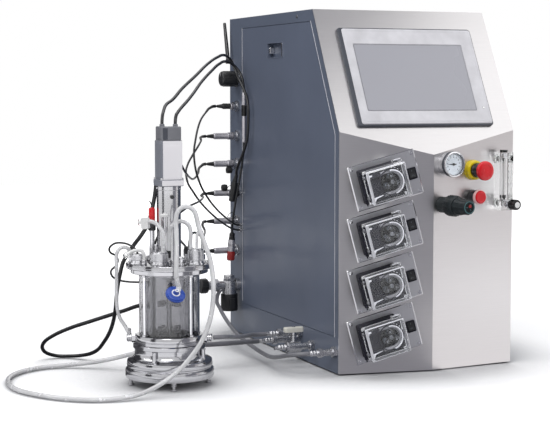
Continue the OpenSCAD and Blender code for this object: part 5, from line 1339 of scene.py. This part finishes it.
def stirrer_motor():
    """Flange, body and cap of the square motor, with tie screws, face panels and cable outlets; the front's
    panels are painted near white as lit, and a strip on the cap's front is painted shade.
    """
    w, low, high, top = 43.5, 13, 88.5, 116
    base, middle, cap_w, cap_middle = at_vessel(COLUMN_TOP), (low + high) / 2, w - 3, (high + top) / 2
    form = Form()
    form.block(w + 5, w + 5, 3.4, 0.05, low, base, edge=1)
    form.block(w, w, 3, low - 0.1, high, base, edge=0.8)
    form.block(w - 1.6, w - 1.6, 2.4, high - 0.5, high + 1.2, base, 2, edge=0.3)
    form.block(cap_w, cap_w, 3, high + 0.8, top, base, 2, edge=1.2)

    def panel(side, x, y, panel_w, panel_h, r, half, proud, finish, edge):
        """A flat panel that stands proud of a side half that wide away."""
        form.block(panel_w, panel_h, r, half - 0.4, half + proud, side @ move(x, y, 0), finish, edge)

    front = base @ turn(90, "X")
    # Painted light: the front's panels take the near-white lit copy of the motor's grey.
    panel(front, 1.4, middle, w - 4.4, high - low - 0.6, 1.4, w / 2, 0.5, 1, 0.4)
    panel(front, 2, middle - 3, w - 8, high - low - 13, 2, w / 2 + 0.8, 0, 1, 0.3)
    panel(front, 1.2, 6.6, w + 1, 10.4, 1.4, (w + 5) / 2, 0.4, 1, 0.3)
    # Painted shade: a slate strip down the cap's front.
    panel(front, 9 - w / 2, cap_middle, 10, top - high - 5, 1.2, cap_w / 2, 0.5, 4, 0.4)
    for spin in around(4)[1:]:
        side = base @ spin @ turn(90, "X")
        panel(side, 0, middle, w - 9, high - low - 8, 2.4, w / 2, 0.7, 0, 0.5)
        panel(side, 0, cap_middle, w - 12, top - high - 9, 2, cap_w / 2, 0.5, 2, 0.4)
    for spin in around(4):
        corner = base @ spin @ move(w / 2 - 1.6, w / 2 - 1.6, low)
        form.turned([(3.4, -0.2), (3.4, 3.2), (2.9, 3.8), (1.6, 3.8), (1.5, 2.2)], corner, 3, n=20)
        screw = base @ spin @ move(w / 2 - 5.4, w / 2 - 5.4, top)
        form.turned([(2.4, -0.6), (2.4, 0.4), (1.3, 0.5), (1.2, -0.4)], screw, 3, n=16)
    rear = base @ move(6, w / 2, 66) @ turn(-90, "X")
    for outlet, sunk, end_r in ((base @ move(-12, 3, top), 0.4, 4), (base @ move(12, -7, top), 0.4, 4),
                                (rear, 0.5, 3.4)):
        form.hexagon(9.6, -sunk, 2.2, outlet, 2)
        form.turned([(4.4, 2), (4.8, 2.6), (4.8, 4.2), (end_r, 5)], outlet, 2, n=24)
    form.piece("servo_motor", [MOTOR_METAL, LIT_MOTOR_FRONT, MOTOR_CAP, ZINC, PAINTED_SHADE_SLATE], "motor_metal",
               "stirrer_motor")


def inside_the_vessel():
    """Blades, hub screws and coupling on the turning shaft."""
    impellers, shaft_end, coupling = (110, 160), COLUMN_TOP + 14, COLUMN_TOP - 47
    form = Form()
    form.turned([(3.4, 98), (4, 99), (4, shaft_end - 0.5), (3.4, shaft_end)], at_vessel(), n=28)
    for z in impellers:
        form.disc(8, z - 5, z + 5, at_vessel(), n=28, edge=1)
        form.turned([(16.4, z - 1), (17, z - 0.6), (17, z + 0.6), (16.4, z + 1)], at_vessel(), n=48)
        form.turned([(1.6, 7.6), (1.6, 8.8), (0.8, 8.9)], at_vessel(z) @ turn(20, "Z") @ turn(90, "Y"), n=12)
        for spin in around(6):
            form.block(12, 1.6, 0.5, -6, 6, at_vessel(z) @ spin @ move(18, 0, 0), edge=0.3)
    form.disc(9, coupling - 13, coupling + 13, at_vessel(), n=32, edge=1)
    form.bead(8.8, 2.2, coupling - 1, 2, 0, at_vessel(), n=32)
    form.moving_piece("stirrer_shaft", [SATIN_STEEL], "stainless", "agitator")


# ---------------------------------------------------------------- assembly
def each_pump(node):
    """The names of the four nodes that every pump has one of."""
    return " ".join(f"{node}_{i}" for i in range(1, 5))


def finish_the_frame():
    """Materials of the CAD nodes."""
    for material, names in (
            (SIDE_PAINT, "cabinet_shell"),
            (PANEL_PAINT, "left_side_panel"),
            (STAINLESS, "front_panel"),
            (PLATE_STEEL, "pump_plates"),
            (RUBBER, "cabinet_feet"),
            (POLISHED, "side_latch_catch tie_rods vessel_feet pump_screws jacket_collar"),
            (GREY_PLASTIC, "touch_panel_housing"),
            (SCREEN, "touch_screen"),
            (CREAM, "control_unit water_valve_handle"),
            (ZINC, "power_supply chassis_sockets gauge_case water_fittings"),
            (DARK_METAL, "circulation_pump pump_motors supply_valve"),
            (PUMP_BLACK, "pump_housings pump_switch_frames"),
            (GLOSS_BLACK, "push_button_body regulator_body regulator_knob flowmeter_knob main_switch_knob "
                          "antenna"),
            (BLACK, "gauge_needle flowmeter_float " + each_pump("pump_switch")),
            (GREY_SILICONE, "pump_tubes"),
            (SATIN_STEEL, each_pump("pump_rotor")),
            (MOTOR_METAL, "stirrer_motor"),
            (CLEAR_PLASTIC, each_pump("pump_cover")),
            (CLEAR_ACRYLIC, "flowmeter_body"),
            (YELLOW, "stop_body"),
            (RED, "stop_button push_button_cap"),
            (TURNED, "vessel_base head_plate head_fittings motor_column agitator baffle_cage"),
            (GLASS, "glass_vessel")):
        for name in names.split():
            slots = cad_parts[name].data.materials
            slots.clear()
            slots.append(material)


look_from_the_front_left()
light_the_room()
lay_the_floor()
bpy.context.scene.view_settings.view_transform = "Standard"
finish_the_frame()
lay_the_cords(make_cord_pieces())
side_details()
touch_panel()
pump_plates()
for pump in range(4):
    pump_station(pump)
    pump_cover(pump)
    pump_rocker(pump)
gauge()
stop_and_push_buttons()
regulator()
flowmeter()
side_fittings()
vessel_stand()
vessel_collar()
vessel_head()
head_fittings()
vessel_column()
stirrer_motor()
inside_the_vessel()
